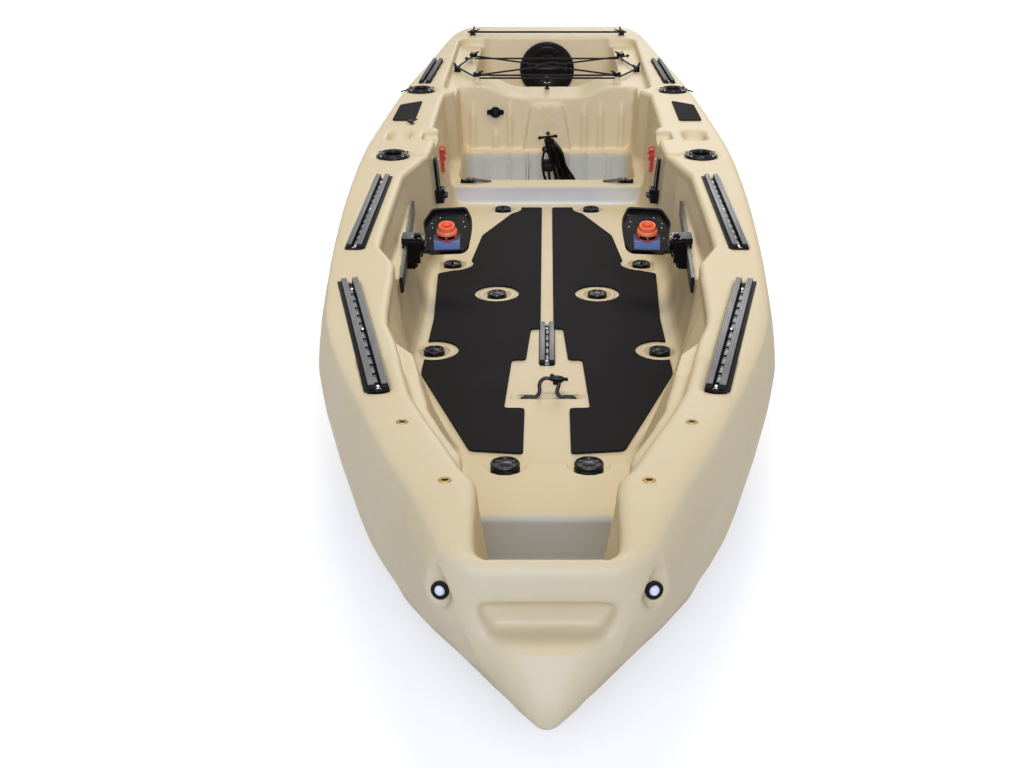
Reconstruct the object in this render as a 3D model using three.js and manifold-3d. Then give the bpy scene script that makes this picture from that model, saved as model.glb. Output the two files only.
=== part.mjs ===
// Fishing kayak: a moulded sit-on-top hull with its deck fittings, foot braces and cord rigging.
// Millimetres. +X is port, +Y is astern, +Z is up; the origin is on the ground amidships.

import * as THREE from "three";
import { mergeVertices } from "three/addons/utils/BufferGeometryUtils.js";
import Module from "manifold-3d";

const wasm = await Module();
wasm.setup();

// Hull
const hullLength = 3810;
const hullBeam = 940;
const deckHeight = 400;
const keelPadHalf = 46;
const tunnelDepth = 26;
const floorHeight = 120;
const platformHeight = 168;
const platformRound = 26;
const bowWellFloor = 84;
const bowWellRise = 150;
const crossbeamHeight = 176;
const seatWellFloor = 62;
const seatWellDraft = 12;
const seatWellCorner = 42;
const seatWellFillet = 20;
const floorRound = 22;
const edgeRound = 14;
const openingLedgeDrop = 30;
const surroundDrop = 30;
const surroundCorner = 55;
const surroundFillet = 4;
const surroundFoot = 2;
const saddleDrop = 36;
const tankwellFloor = 172;
const tankwellCorner = 50;
const tankwellDraft = 14;
const tankwellFillet = 9;
const backWallLean = 26;
const backRibWidth = 26;
const backRibDepth = 7;
const backRibHeight = 150;
const wellRibWidth = 9;
const wellRibDepth = 5;
const wellRibPitch = 62;
const ribBlockDepth = 16;
const ribBlockTopHalf = 50;
const ribBlockBottomHalf = 76;
const ribBlockHeight = 140;
const ribGrooveWidth = 9;
const ribGroovePitch = 24;
const noseStepSetBack = 7;
const noseStepFloor = 302;
const noseStepCeiling = 342;
const pocketDepth = 30;
const pocketCorner = 26;
const pocketFillet = 10;
const notchDepth = 20;
const overrun = 60;

// Fits
const touchGap = 0.3;
const slideGap = 0.6;
const cordGap = 0.4;

// Gear tracks
const trackWidth = 32;
const trackDepth = 14;
const trackSlot = 9;
const trackSlotWide = 19;
const trackLip = 3;
const trackFloor = 3;
const bowTrackLength = 492;
const midTrackLength = 518;
const aftTrackLength = 360;
const floorTrackLength = 228;

// Rod holders
const rodFlangeDiameter = 84;
const rodFlangeHeight = 7;
const rodTubeDiameter = 54;
const rodBore = 46;
const rodTubeDepth = 186;
const rodTubeFloor = 5;
const rodRecessDepth = 4;
const rodRecessMargin = 9;
const rodGrooveWidth = 26;

// Pads
const padThickness = 5;
const padCorner = 9;
const sidePadThickness = 4;
const scupperClearRadius = 54;

// Scupper plugs
const plugCapDiameter = 46;
const plugCapHeight = 11;
const plugStemDiameter = 30;
const plugStemTip = 25;
const plugStemLength = 46;
const plugDishDiameter = 66;
const plugDishDepth = 7;
const plugBayRadius = 36;
const plugBayFloor = 152;
const bowPlugCapDiameter = 52;
const bowPlugCapHeight = 17;

// Navigation lights
const lightLensDiameter = 14;
const lightLensHeight = 8;
const lightBezelDiameter = 24;
const lightBezelThickness = 5;
const lightTurn = 40;
const lightDepth = 12;
const lightPocketWidth = 34;
const lightPocketRun = 52;
const lightPocketTip = 3;
const lightPocketFlare = 46;

// Foot braces
const footRailLength = 530;
const footRailHeight = 34;
const footRailThickness = 7;
const footRailSlotLength = 24;
const footRailSlotHeight = 8;
const footRailSlotPitch = 53;
const railLandHeight = 20;
const railLandDepth = 46;
const railLandMargin = 16;
const clampLength = 62;
const clampLip = 5;
const clampWall = 6;
const clampThickness = 26;
const clampCapLength = 48;
const clampCapWidth = 44;
const clampCapHeight = 12;
const armThickness = 10;
const armWidth = 26;
const armPinDiameter = 9;
const armPinLength = 22;
const pedalWidth = 113;
const pedalLength = 115;
const pedalRim = 18;
const pedalWall = 4;
const pedalChamfer = 24;
const pedalTilt = 45;
const pedalDrop = 11.7;
const pedalReach = 79;
const pedalLead = 147;
const pedalBossSize = 18;
const lockWidth = 60;
const lockFront = 23;
const lockBack = 2;
const lockFrontPlace = -48;
const lockLean = 14;
const knobDiameter = 48;
const knobHeight = 25;
const knobNeckDiameter = 24;
const knobNeckHeight = 9;
const knobPlace = 17;
const knobGripDepth = 8;
const knobGripWidth = 12;

// Seat fittings
const seatRailHeight = 116;
const seatRailWidth = 26;
const seatRailThickness = 8;
const seatRailSlot = 8;
const seatSliderHeight = 36;
const seatSliderDepth = 7;
const seatSliderWall = 5;
const seatLandHeight = 5;
const seatLandWidth = 14;
const seatStrapWidth = 22;
const seatStrapLength = 68;
const seatStrapThickness = 4;
const cleatLength = 88;
const cleatWidth = 24;
const cleatHeight = 14;

// Hatch
const hatchFrameDiameter = 198;
const hatchLidDiameter = 166;
const hatchFrameThickness = 12;
const hatchLidThickness = 18;
const hatchBore = 148;
const hatchBoreDepth = 100;
const hatchGripWidth = 22;
const hatchGripDepth = 8;
const hatchGripLength = 96;
const hatchPlugDepth = 16;
const hatchRise = 113;
const hatchSides = 32;

// Drain plug
const drainDiameter = 34;
const drainEar = 10;
const drainThickness = 7;
const drainKnobDiameter = 20;
const drainKnobHeight = 8;
const drainStemDiameter = 16;
const drainStemLength = 18;
const drainRise = 116;

// Cords, their hooks and the cable harness
const cordDiameter = 6;
const sternCordDiameter = 7;
const floorCordDiameter = 8;
const cordRise = 10;
const cordLayer = 9;
const cordBend = 9;
const sternCordRise = 11;
const eyeDiameter = 24;
const eyeHeight = 27;
const hookLength = 26;
const hookWidth = 22;
const hookHeight = 22;
const floorLoopHalf = 63;
const floorLoopRise = 42;
const floorLoopFoot = 36;
const floorLoopLean = 30;
const floorSlotLength = 150;
const floorSlotWidth = 24;
const floorSlotDepth = 8;
const keeperLength = 34;
const keeperDiameter = 14;
const harnessDiameter = 34;
const harnessHeight = 150;
const harnessReach = 64;
const handleLength = 46;
const handleDiameter = 13;
const knobBallDiameter = 26;
const latchDiameter = 12;
const latchHeight = 18;

const halfBeam = hullBeam / 2;
const bodyColour = 0xdfceae;
const blackPlastic = 0x1b1b1d;
const padFoam = 0x262425;
const trackMetal = 0x6c6e72;
const lensWhite = 0xf2f4f6;
const lockBlue = 0x5f78aa;
const knobOrange = 0xfa6e3c;
const strapRed = 0xd8392f;
const cordBlack = 0x141415;

// Places along the hull are shares of its length from the bow, places across are shares of the half beam
const along = (share) => (share - 0.5) * hullLength;
const across = (share) => share * halfBeam;

// One row for each station: its place, then the half widths of the deck edge, shoulder, side, chine and
// runner as shares of the half beam, then the keel and deck heights as shares of the deck height
const hullLineShares = [
  [0, 0.016, 0.026, 0.03, 0.021, 0.012, 0.535, 0.585],
  [0.0035, 0.032, 0.062, 0.06, 0.036, 0.014, 0.51, 0.64],
  [0.0095, 0.062, 0.118, 0.108, 0.06, 0.017, 0.472, 0.725],
  [0.0125, 0.08, 0.145, 0.128, 0.068, 0.018, 0.45, 0.76],
  [0.0185, 0.142, 0.2, 0.156, 0.082, 0.02, 0.41, 0.785],
  [0.02, 0.162, 0.215, 0.17, 0.09, 0.021, 0.395, 0.865],
  [0.0225, 0.184, 0.236, 0.206, 0.1, 0.023, 0.375, 0.962],
  [0.027, 0.225, 0.285, 0.24, 0.11, 0.025, 0.34, 0.994],
  [0.034, 0.26, 0.328, 0.272, 0.118, 0.03, 0.285, 1],
  [0.055, 0.318, 0.388, 0.332, 0.156, 0.04, 0.145, 1],
  [0.073, 0.378, 0.436, 0.402, 0.216, 0.056, 0.05, 1],
  [0.099, 0.468, 0.528, 0.5, 0.356, 0.134, 0.01, 1],
  [0.137, 0.577, 0.638, 0.624, 0.532, 0.392, 0, 1],
  [0.175, 0.685, 0.745, 0.723, 0.632, 0.479, 0, 1],
  [0.227, 0.798, 0.862, 0.838, 0.745, 0.585, 0, 1],
  [0.336, 0.904, 0.938, 0.919, 0.84, 0.691, 0, 1],
  [0.45, 0.955, 0.989, 0.97, 0.894, 0.734, 0, 1],
  [0.52, 0.966, 1, 0.981, 0.904, 0.745, 0, 1],
  [0.604, 0.943, 0.977, 0.957, 0.883, 0.723, 0, 1],
  [0.703, 0.902, 0.936, 0.917, 0.84, 0.691, 0, 1],
  [0.823, 0.809, 0.843, 0.826, 0.755, 0.617, 0, 1],
  [0.9, 0.757, 0.791, 0.774, 0.709, 0.574, 0.01, 1],
  [0.95, 0.715, 0.749, 0.732, 0.67, 0.543, 0.055, 1],
  [0.98, 0.649, 0.691, 0.674, 0.617, 0.5, 0.113, 1],
  [0.993, 0.57, 0.617, 0.606, 0.557, 0.447, 0.19, 0.997],
  [1, 0.479, 0.532, 0.523, 0.479, 0.383, 0.275, 0.965],
];
const shoulderLevelShare = 0.75;
const sideLevelShare = 0.5;
const chineLevelShare = 0.24;
const runnerLevelShare = 0.05;
const longestStationShare = 0.03;

// Half widths of the deck opening along the hull, bow to stern
const openingShares = [
  [0.0268, 0.16],
  [0.03, 0.185],
  [0.045, 0.193],
  [0.07, 0.196],
  [0.0766, 0.2],
  [0.0858, 0.246],
  [0.108, 0.315],
  [0.1475, 0.441],
  [0.2024, 0.54],
  [0.221, 0.584],
  [0.2356, 0.598],
  [0.3013, 0.629],
  [0.3274, 0.713],
  [0.36, 0.72],
  [0.4633, 0.723],
  [0.4885, 0.672],
  [0.5118, 0.63],
  [0.58, 0.613],
  [0.585, 0.649],
  [0.6522, 0.653],
  [0.689, 0.649],
  [0.7, 0.592],
  [0.7457, 0.592],
];

// Half widths of the cockpit floor and of the bow platform, bow to crossbeam
const floorEdgeShares = [
  [0.1507, 0.3],
  [0.18, 0.35],
  [0.199, 0.35],
  [0.235, 0.37],
  [0.26, 0.455],
  [0.29, 0.545],
  [0.32, 0.612],
  [0.345, 0.618],
  [0.42, 0.615],
  [0.465, 0.64],
  [0.4885, 0.636],
  [0.515, 0.585],
  [0.58, 0.572],
  [0.6388, 0.57],
];

// Stations and half widths of the moulded features
const bowWellFrontShare = 0.0268;
const bowWellAftShare = 0.12;
const platformFrontShare = 0.1507;
const platformAftShare = 0.1995;
const ledgeFrontShare = 0.0858;
const ledgeAftShare = 0.206;
const ledgeWidthShare = 0.058;
const crossbeamFrontShare = 0.6388;
const crossbeamAftShare = 0.655;
const seatWellAftShare = 0.7365;
const seatWellHalfShare = 0.555;
const backWallShare = 0.7457;
const surroundFrontShare = 0.705;
const surroundAftShare = 0.93;
const surroundHalfShare = 0.67;
const tankwellFrontShare = 0.7966;
const tankwellAftShare = 0.9345;
const tankwellHalfShare = 0.504;
const saddleOuterShare = 0.44;
const saddleInnerShare = 0.17;
const noseStepWallShare = 0.0228;
const noseStepFootShare = 0.145;
const noseStepMouthShare = 0.19;
const backRibShares = [0.25, 0.36, 0.5];

// Places of the fittings: share along, then share across
const bowTrackShares = [0.2106, 0.665];
const midTrackShares = [0.3892, 0.82];
const aftTrackShares = [0.7754, 0.787];
const floorTrackShares = [0.3669, 0];
const bowTrackTurn = -13.05;
const aftTrackTurn = 2.5;
const midRodShares = [0.5079, 0.815];
const aftRodShares = [0.7029, 0.804];
const plugShares = [
  ["aft", 0.6236, 0.27],
  ["quarter", 0.501, 0.513],
  ["centre", 0.4451, 0.257],
  ["side", 0.3551, 0.521],
];
const bowPlugShares = [0.198, 0.155];
const lightShare = 0.0305;
const seatRailShare = 0.526;
const seatStrapShare = 0.57;
const pocketShares = [0.5604, 0.826];
const pocketSizeShares = [0.0145, 0.07];
const notchShares = [0.5604, 0.645];
const notchSizeShares = [0.011, 0.05];
const drainShare = 0.347;

// Levels of what is fixed to the walls, as shares of the deck height
const lightLevelShare = 0.85;
const footRailLevelShare = 0.7775;
const seatRailLevelShare = 0.79;
const seatStrapLevelShare = 0.815;
const railShares = [0.399, 0.659];
const railTurn = 2.8;
const clampPlaceShare = -0.07;
const cleatShares = [0.647, 0.44];
const floorLoopShare = 0.297;
const harnessShares = [0.703, 0.03];
const frontEyeShares = [0.773, 0.475];
const aftEyeShares = [0.857, 0.535];
const sideHookShares = [0.8123, 0.63];
const sternHookShares = [0.9445, 0.575];
const latchShare = 0.786;

// Outlines: share along, then share across
const floorPadShares = [
  [0.6262, 0.031], [0.6262, 0.166], [0.5598, 0.374], [0.4915, 0.424], [0.4816, 0.581], [0.4034, 0.553],
  [0.3236, 0.56], [0.2339, 0.306], [0.2307, 0.094], [0.2801, 0.094], [0.2801, 0.181], [0.3425, 0.16],
  [0.3425, 0.096], [0.3877, 0.077], [0.3877, 0.031],
];
const sidePadShares = [[0.661, 0.766], [0.648, 0.893], [0.6005, 0.9], [0.6005, 0.768]];
const pedalOutlineShares = [
  [0.38, -0.5], [0.5, 0.16], [0.32, 0.46], [-0.38, 0.5],
  [-0.5, 0.24], [-0.49, 0], [-0.43, -0.38], [-0.32, -0.47],
];

// A curve through hand-set points that never swings past them
function curveThrough(rows, column = 1) {
  const xs = rows.map((row) => row[0]);
  const ys = rows.map((row) => row[column]);
  const slopes = xs.slice(1).map((x, i) => (ys[i + 1] - ys[i]) / (x - xs[i]));
  const tangents = xs.map((x, i) => {
    const before = slopes[Math.max(i - 1, 0)];
    const after = slopes[Math.min(i, slopes.length - 1)];
    return before * after <= 0 ? 0 : (2 * before * after) / (before + after);
  });
  return (x) => {
    let i = 0;
    while (i < xs.length - 2 && x > xs[i + 1]) i += 1;
    const span = xs[i + 1] - xs[i];
    const t = THREE.MathUtils.clamp((x - xs[i]) / span, 0, 1);
    const u = 1 - t;
    const ends = ys[i] * (1 + 2 * t) * u * u + ys[i + 1] * (1 + 2 * u) * t * t;
    return ends + span * t * u * (tangents[i] * u - tangents[i + 1] * t);
  };
}

// A table's stations between two ends, with no step longer than the longest
function stationsOf(rows, from, to, longest) {
  const marks = rows.map((row) => row[0]).filter((share) => share > from && share < to);
  const ends = [from, ...marks, to];
  const stations = [from];
  for (let i = 1; i < ends.length; i += 1) {
    const steps = Math.ceil((ends[i] - ends[i - 1]) / longest);
    for (let k = 1; k <= steps; k += 1) {
      stations.push(THREE.MathUtils.lerp(ends[i - 1], ends[i], k / steps));
    }
  }
  return stations;
}

// Solids for joining and cutting, always with their faces pointing out
function solidFrom(points, faces) {
  let volume = 0;
  for (let i = 0; i < faces.length; i += 3) {
    const [a, b, c] = [0, 1, 2].map((k) => new THREE.Vector3().fromArray(points, faces[i + k] * 3));
    volume += a.dot(b.cross(c));
  }
  const triVerts = new Uint32Array(volume < 0 ? faces.toReversed() : faces);
  const vertProperties = new Float32Array(points);
  return new wasm.Manifold(new wasm.Mesh({ numProp: 3, vertProperties, triVerts }));
}

function solidOf(geometry) {
  const bare = geometry.clone();
  bare.deleteAttribute("normal");
  bare.deleteAttribute("uv");
  const merged = mergeVertices(bare);
  return solidFrom(Array.from(merged.attributes.position.array), Array.from(merged.index.array));
}

function geometryOf(solid) {
  const mesh = solid.getMesh();
  const geometry = new THREE.BufferGeometry();
  geometry.setAttribute("position", new THREE.BufferAttribute(mesh.vertProperties.slice(), 3));
  geometry.setIndex(new THREE.BufferAttribute(mesh.triVerts.slice(), 1));
  return geometry;
}

function joined(...geometries) {
  return geometryOf(geometries.map(solidOf).reduce((body, piece) => body.add(piece)));
}

function cut(geometry, ...cutters) {
  return geometryOf(cutters.map(solidOf).reduce((body, piece) => body.subtract(piece), solidOf(geometry)));
}

// A body through rings of points, closed at both ends
function loft(rings) {
  const count = rings[0].length;
  const points = rings.flat(2);
  const faces = [];
  for (let r = 0; r + 1 < rings.length; r += 1) {
    for (let i = 0; i < count; i += 1) {
      const j = (i + 1) % count;
      const [a, b, c, d] = [r * count + i, r * count + j, (r + 1) * count + j, (r + 1) * count + i];
      faces.push(a, b, c, a, c, d);
    }
  }
  [0, rings.length - 1].forEach((r) => {
    const middle = points.length / 3;
    [0, 1, 2].forEach((k) => points.push(rings[r].reduce((sum, point) => sum + point[k], 0) / count));
    for (let i = 0; i < count; i += 1) {
      const j = (i + 1) % count;
      const edge = r === 0 ? [j, i] : [i, j];
      faces.push(r * count + edge[0], r * count + edge[1], middle);
    }
  });
  return geometryOf(solidFrom(points, faces));
}

// A copy moved to a place, turned first about X, then Y, then Z, in degrees
function placed(geometry, x, y, z, turnX = 0, turnY = 0, turnZ = 0) {
  const angles = [turnX, turnY, turnZ].map(THREE.MathUtils.degToRad);
  const turn = new THREE.Quaternion().setFromEuler(new THREE.Euler(...angles, "ZYX"));
  const matrix = new THREE.Matrix4().compose(new THREE.Vector3(x, y, z), turn, new THREE.Vector3(1, 1, 1));
  return geometry.clone().applyMatrix4(matrix);
}

function mirrored(geometry) {
  return geometryOf(solidOf(geometry.clone().scale(-1, 1, 1)));
}

// The points of a rounded rectangle, anticlockwise
function roundedRing(halfX, halfY, radius, segments = 4) {
  const corners = [[1, 1, 0], [-1, 1, 1], [-1, -1, 2], [1, -1, 3]];
  return corners.flatMap(([sx, sy, quarter]) =>
    Array.from({ length: segments + 1 }, (_, i) => {
      const angle = (quarter + i / segments) * (Math.PI / 2);
      return [
        sx * (halfX - radius) + radius * Math.cos(angle),
        sy * (halfY - radius) + radius * Math.sin(angle),
      ];
    }),
  );
}

function circle(radius, sides, x = 0, y = 0) {
  return Array.from({ length: sides }, (_, i) => {
    const angle = (i / sides) * 2 * Math.PI;
    return [x + radius * Math.cos(angle), y + radius * Math.sin(angle)];
  });
}

// An outline with its corners rounded
function softened(outline, radius, steps = 2) {
  const corners = outline.map(([x, y]) => new THREE.Vector2(x, y));
  return corners.flatMap((corner, i) => {
    const before = corners.at(i - 1).clone().sub(corner);
    const after = corners[(i + 1) % corners.length].clone().sub(corner);
    const reach = Math.min(radius, before.length() * 0.45, after.length() * 0.45);
    const start = corner.clone().addScaledVector(before.normalize(), reach);
    const end = corner.clone().addScaledVector(after.normalize(), reach);
    const bend = new THREE.QuadraticBezierCurve(start, corner, end);
    return bend.getPoints(steps).map((point) => [point.x, point.y]);
  });
}

// A flat body from an outline, standing from zero up
function plate(outline, height, holes = []) {
  const shape = new THREE.Shape(outline.map(([x, y]) => new THREE.Vector2(x, y)));
  holes.forEach((hole) => shape.holes.push(new THREE.Path(hole.map(([x, y]) => new THREE.Vector2(x, y)))));
  return new THREE.ExtrudeGeometry(shape, { depth: height, bevelEnabled: false });
}

// A profile of across and height pairs, run along Y with its middle at zero
function run(profile, length) {
  return plate(profile, length).translate(0, 0, -length / 2).rotateX(Math.PI / 2);
}

function block(width, length, height, round = 0) {
  if (round > 0) return plate(roundedRing(width / 2, length / 2, round, 3), height);
  return new THREE.BoxGeometry(width, length, height).translate(0, 0, height / 2);
}

// A body turned about the vertical axis from radius and height pairs
function turned(profile, sides) {
  const points = profile.map(([radius, height]) => new THREE.Vector2(radius, height));
  return new THREE.LatheGeometry(points, sides).rotateX(Math.PI / 2);
}

function rod(diameter, from, to, sides = 12) {
  return turned([[0, from], [diameter / 2, from], [diameter / 2, to], [0, to]], sides);
}

// A pocket that narrows downwards, with a rounded foot
function basin(halfX, halfY, corner, bottom, top, draft, fillet) {
  const levels = [[bottom, fillet], [bottom + fillet * 0.3, fillet * 0.3], [bottom + fillet, 0], [top, 0]];
  levels.push([top + overrun, 0]);
  return loft(
    levels.map(([height, extra]) => {
      const inset = draft * Math.max(1 - (height - bottom) / (top - bottom), 0) + extra;
      const ring = roundedRing(halfX - inset, halfY - inset, Math.max(corner - inset, fillet * 0.2));
      return ring.map(([x, y]) => [x, y, height]);
    }),
  );
}

// A route given as points, swept as it stands
class Route extends THREE.Curve {
  constructor(points) {
    super();
    this.points = points;
  }
  getPoint(t) {
    const place = t * (this.points.length - 1);
    const i = Math.min(Math.floor(place + Number.EPSILON * this.points.length), this.points.length - 2);
    return this.points[i].clone().lerp(this.points[i + 1], place - i);
  }
  getPointAt(t) {
    return this.getPoint(t);
  }
  getTangentAt(t) {
    const i = Math.round(t * (this.points.length - 1));
    const here = this.points[i];
    const into = here.clone().sub(this.points[Math.max(i - 1, 0)]).normalize();
    const out = this.points[Math.min(i + 1, this.points.length - 1)].clone().sub(here).normalize();
    return into.add(out).normalize();
  }
}

// Corner points with each inner corner turned as a small bend
function bent(corners, radius, steps = 3) {
  const points = [corners[0]];
  for (let i = 1; i + 1 < corners.length; i += 1) {
    const into = corners[i - 1].clone().sub(corners[i]).normalize();
    const out = corners[i + 1].clone().sub(corners[i]).normalize();
    const start = corners[i].clone().addScaledVector(into, radius);
    const end = corners[i].clone().addScaledVector(out, radius);
    points.push(...new THREE.QuadraticBezierCurve3(start, corners[i], end).getPoints(steps));
  }
  points.push(corners.at(-1));
  return points;
}

function tube(points, diameter, sides = 8) {
  const section = new THREE.Shape(circle(diameter / 2, sides).map(([x, y]) => new THREE.Vector2(x, y)));
  const extrudePath = new Route(points);
  return new THREE.ExtrudeGeometry(section, { steps: points.length - 1, extrudePath, bevelEnabled: false });
}

// The hull's lines and walls
const lines = [1, 2, 3, 4, 5, 6, 7].map((column) => curveThrough(hullLineShares, column));
const openingEdge = curveThrough(openingShares);
const floorEdge = curveThrough(floorEdgeShares);
const shelfHeight = deckHeight - openingLedgeDrop;
const footRailLevel = deckHeight * footRailLevelShare;
const pedalHeight = footRailLevel - pedalDrop;
const surroundHeight = deckHeight - surroundDrop;

function hullRing(station) {
  const [deckEdge, shoulder, side, chine, runner] = lines.slice(0, 5).map((line) => across(line(station)));
  const keel = lines[5](station) * deckHeight;
  const deck = lines[6](station) * deckHeight;
  const level = (share) => THREE.MathUtils.lerp(keel, deck, share);
  const blend = (share, inner, outer) => THREE.MathUtils.lerp(inner, outer, share);
  const tunnel = tunnelDepth * THREE.MathUtils.smoothstep(runner / halfBeam, 0.2, 0.6);
  const pad = Math.min(keelPadHalf, runner * 0.3);
  const half = [
    [pad, keel],
    [runner * 0.42, keel + tunnel],
    [runner * 0.58, keel + tunnel],
    [runner * 0.76, keel],
    [runner * 0.96, keel],
    [blend(0.3, runner, chine), level(runnerLevelShare)],
    [blend(0.67, runner, chine), level(runnerLevelShare * 2.2)],
    [chine, level(chineLevelShare)],
    [blend(0.72, chine, side), level(blend(0.6, chineLevelShare, sideLevelShare))],
    [blend(0.6, side, shoulder), level(blend(0.6, sideLevelShare, shoulderLevelShare))],
    [shoulder, level(shoulderLevelShare)],
    [blend(0.2, shoulder, deckEdge), level(blend(0.55, shoulderLevelShare, 1))],
    [blend(0.65, shoulder, deckEdge), deck - edgeRound * 0.3],
    [deckEdge, deck],
  ];
  const ring = [...half, [0, deck], ...half.toReversed().map(([x, z]) => [-x, z]), [0, keel]];
  return ring.map(([x, z]) => [x, along(station), z]);
}

// A point on the port side above the shoulder, and the direction that the side faces there
function sidePoint(station, height) {
  const keel = lines[5](station) * deckHeight;
  const deck = lines[6](station) * deckHeight;
  const level = (height - keel) / (deck - keel);
  const rise = (level - shoulderLevelShare) / (1 - shoulderLevelShare);
  const half = THREE.MathUtils.lerp(across(lines[1](station)), across(lines[0](station)), rise);
  return new THREE.Vector3(half, along(station), height);
}

// A point on the port wall of the cockpit
function wallPoint(station, height) {
  const foot = across(floorEdge(station)) + floorRound * 0.1;
  const top = across(openingEdge(station));
  const rise = (height - floorHeight - floorRound) / (shelfHeight - floorHeight - floorRound);
  return new THREE.Vector3(THREE.MathUtils.lerp(foot, top, rise), along(station), height);
}

// The placing of a fitting that lies on a surface: local Z faces out of it and local Y runs up it
function frameOn(surface, station, height, sense) {
  const point = surface(station, height);
  const fore = surface(station + longestStationShare * 0.1, height).sub(point).normalize();
  const up = surface(station, height + touchGap).sub(point).normalize();
  const out = up.clone().cross(fore).multiplyScalar(sense).normalize();
  const level = up.clone().cross(out).normalize();
  return new THREE.Matrix4().makeBasis(level, up, out).setPosition(point);
}

function onFrame(geometry, frame) {
  return geometry.clone().applyMatrix4(frame);
}

// An open-topped channel along the hull between two stations
function channel(from, to, floorHalf, floor, ledge, lean) {
  const stations = stationsOf(openingShares, from, to, longestStationShare);
  return loft(
    stations.map((station, i) => {
      const top = across(openingEdge(station));
      const shelf = across(ledge(station));
      const foot = floorHalf(station);
      const base = floor(station);
      const half = [
        [foot - floorRound, base],
        [foot - floorRound * 0.3, base + floorRound * 0.3],
        [foot + floorRound * 0.1, base + floorRound],
        [top - shelf - touchGap, shelfHeight],
        [top, shelfHeight + touchGap],
        [top, deckHeight - edgeRound * 0.5],
        [top + edgeRound * 0.5, deckHeight],
        [top + edgeRound * 0.5, deckHeight + overrun],
      ];
      const ring = [...half, ...half.toReversed().map(([x, z]) => [-x, z])];
      const slope = i === stations.length - 1 ? lean / (deckHeight - base) : 0;
      return ring.map(([x, z]) => [x, along(station) + slope * (z - base), z]);
    }),
  );
}

function cockpitCuts() {
  const ledge = (station) => (station > ledgeFrontShare && station < ledgeAftShare ? ledgeWidthShare : 0);
  const level = (height) => () => height;
  const joint = longestStationShare * 0.05;
  const beam = [crossbeamFrontShare - joint, backWallShare];
  const narrow = (station) => across(openingEdge(station)) - seatWellDraft;
  const wellFoot = (station) => {
    const reach = THREE.MathUtils.smoothstep(station, bowWellFrontShare, bowWellAftShare);
    return THREE.MathUtils.lerp(across(openingEdge(bowWellFrontShare)) * 0.62, narrow(station), reach);
  };
  const wellFloor = (station) => {
    const reach = THREE.MathUtils.smoothstep(station, bowWellFrontShare, bowWellAftShare);
    return bowWellFloor + bowWellRise * (1 - reach);
  };
  const footHalf = (station) => across(floorEdge(station));
  return [
    channel(bowWellFrontShare, platformFrontShare + joint, wellFoot, wellFloor, ledge, 0),
    channel(platformFrontShare, platformAftShare + joint, footHalf, level(platformHeight), ledge, 0),
    channel(platformAftShare, crossbeamFrontShare, footHalf, level(floorHeight), ledge, 0),
    channel(...beam, narrow, level(crossbeamHeight), level(0), backWallLean),
  ];
}

// The rounded front edge of the bow platform
function platformEdge() {
  const half = across(openingEdge(platformFrontShare));
  const steps = [0, 1, 2, 3];
  const profile = steps.map((i) => {
    const angle = (i / 3) * (Math.PI / 2);
    return [platformRound * (1 - Math.sin(angle)), -platformRound * (1 - Math.cos(angle))];
  });
  profile.push([-touchGap, -platformRound], [-touchGap, touchGap], [platformRound, touchGap]);
  const edge = plate(profile, half * 2).rotateY(Math.PI / 2).rotateX(Math.PI / 2);
  return placed(edge, -half, along(platformFrontShare), platformHeight);
}

// The stepped recess in the top of the bow, flared upwards and open to the front
function noseStep() {
  const [bow, wall] = [along(0), along(noseStepWallShare) + noseStepSetBack];
  const level = (share, height) => {
    const half = across(share);
    const corners = [[-half, bow], [half, bow], [half, wall], [-half, wall]];
    return corners.map(([x, y]) => [x, y, height]);
  };
  return loft([level(noseStepFootShare, noseStepFloor), level(noseStepMouthShare, noseStepCeiling)]);
}

// The dip in the middle of the tankwell's front ledge
function saddle() {
  const outer = across(saddleOuterShare);
  const inner = across(saddleInnerShare);
  const half = Array.from({ length: 7 }, (_, i) => {
    const t = i / 6;
    const fall = (1 - Math.cos(t * Math.PI)) / 2;
    return [THREE.MathUtils.lerp(outer, inner, t), surroundHeight - saddleDrop * fall];
  });
  const section = [...half, ...half.toReversed().map(([x, z]) => [-x, z])];
  section.push([-outer, surroundHeight + overrun], [outer, surroundHeight + overrun]);
  const from = along(backWallShare) - seatWellDraft;
  const to = along(tankwellFrontShare) + tankwellCorner;
  return placed(run(section, to - from), 0, (from + to) / 2, 0);
}

function between(fromShare, toShare) {
  return { middle: (along(fromShare) + along(toShare)) / 2, half: (along(toShare) - along(fromShare)) / 2 };
}

// Gear tracks and rod holders: name, share along, share across, turn and length
const tracks = [
  ["bow", ...bowTrackShares, bowTrackTurn, bowTrackLength],
  ["mid", ...midTrackShares, 0, midTrackLength],
  ["aft", ...aftTrackShares, aftTrackTurn, aftTrackLength],
];
const rods = [["mid", ...midRodShares], ["aft", ...aftRodShares]];
const sides = [["port", 1], ["starboard", -1]];
const plugSeat = floorHeight - plugDishDepth;
const rodSeat = deckHeight - rodRecessDepth;

function trackPocket(length) {
  const width = trackWidth + 2 * touchGap;
  const depth = trackDepth + touchGap;
  return block(width, length + 2 * touchGap, depth + overrun).translate(0, 0, -depth);
}

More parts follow.
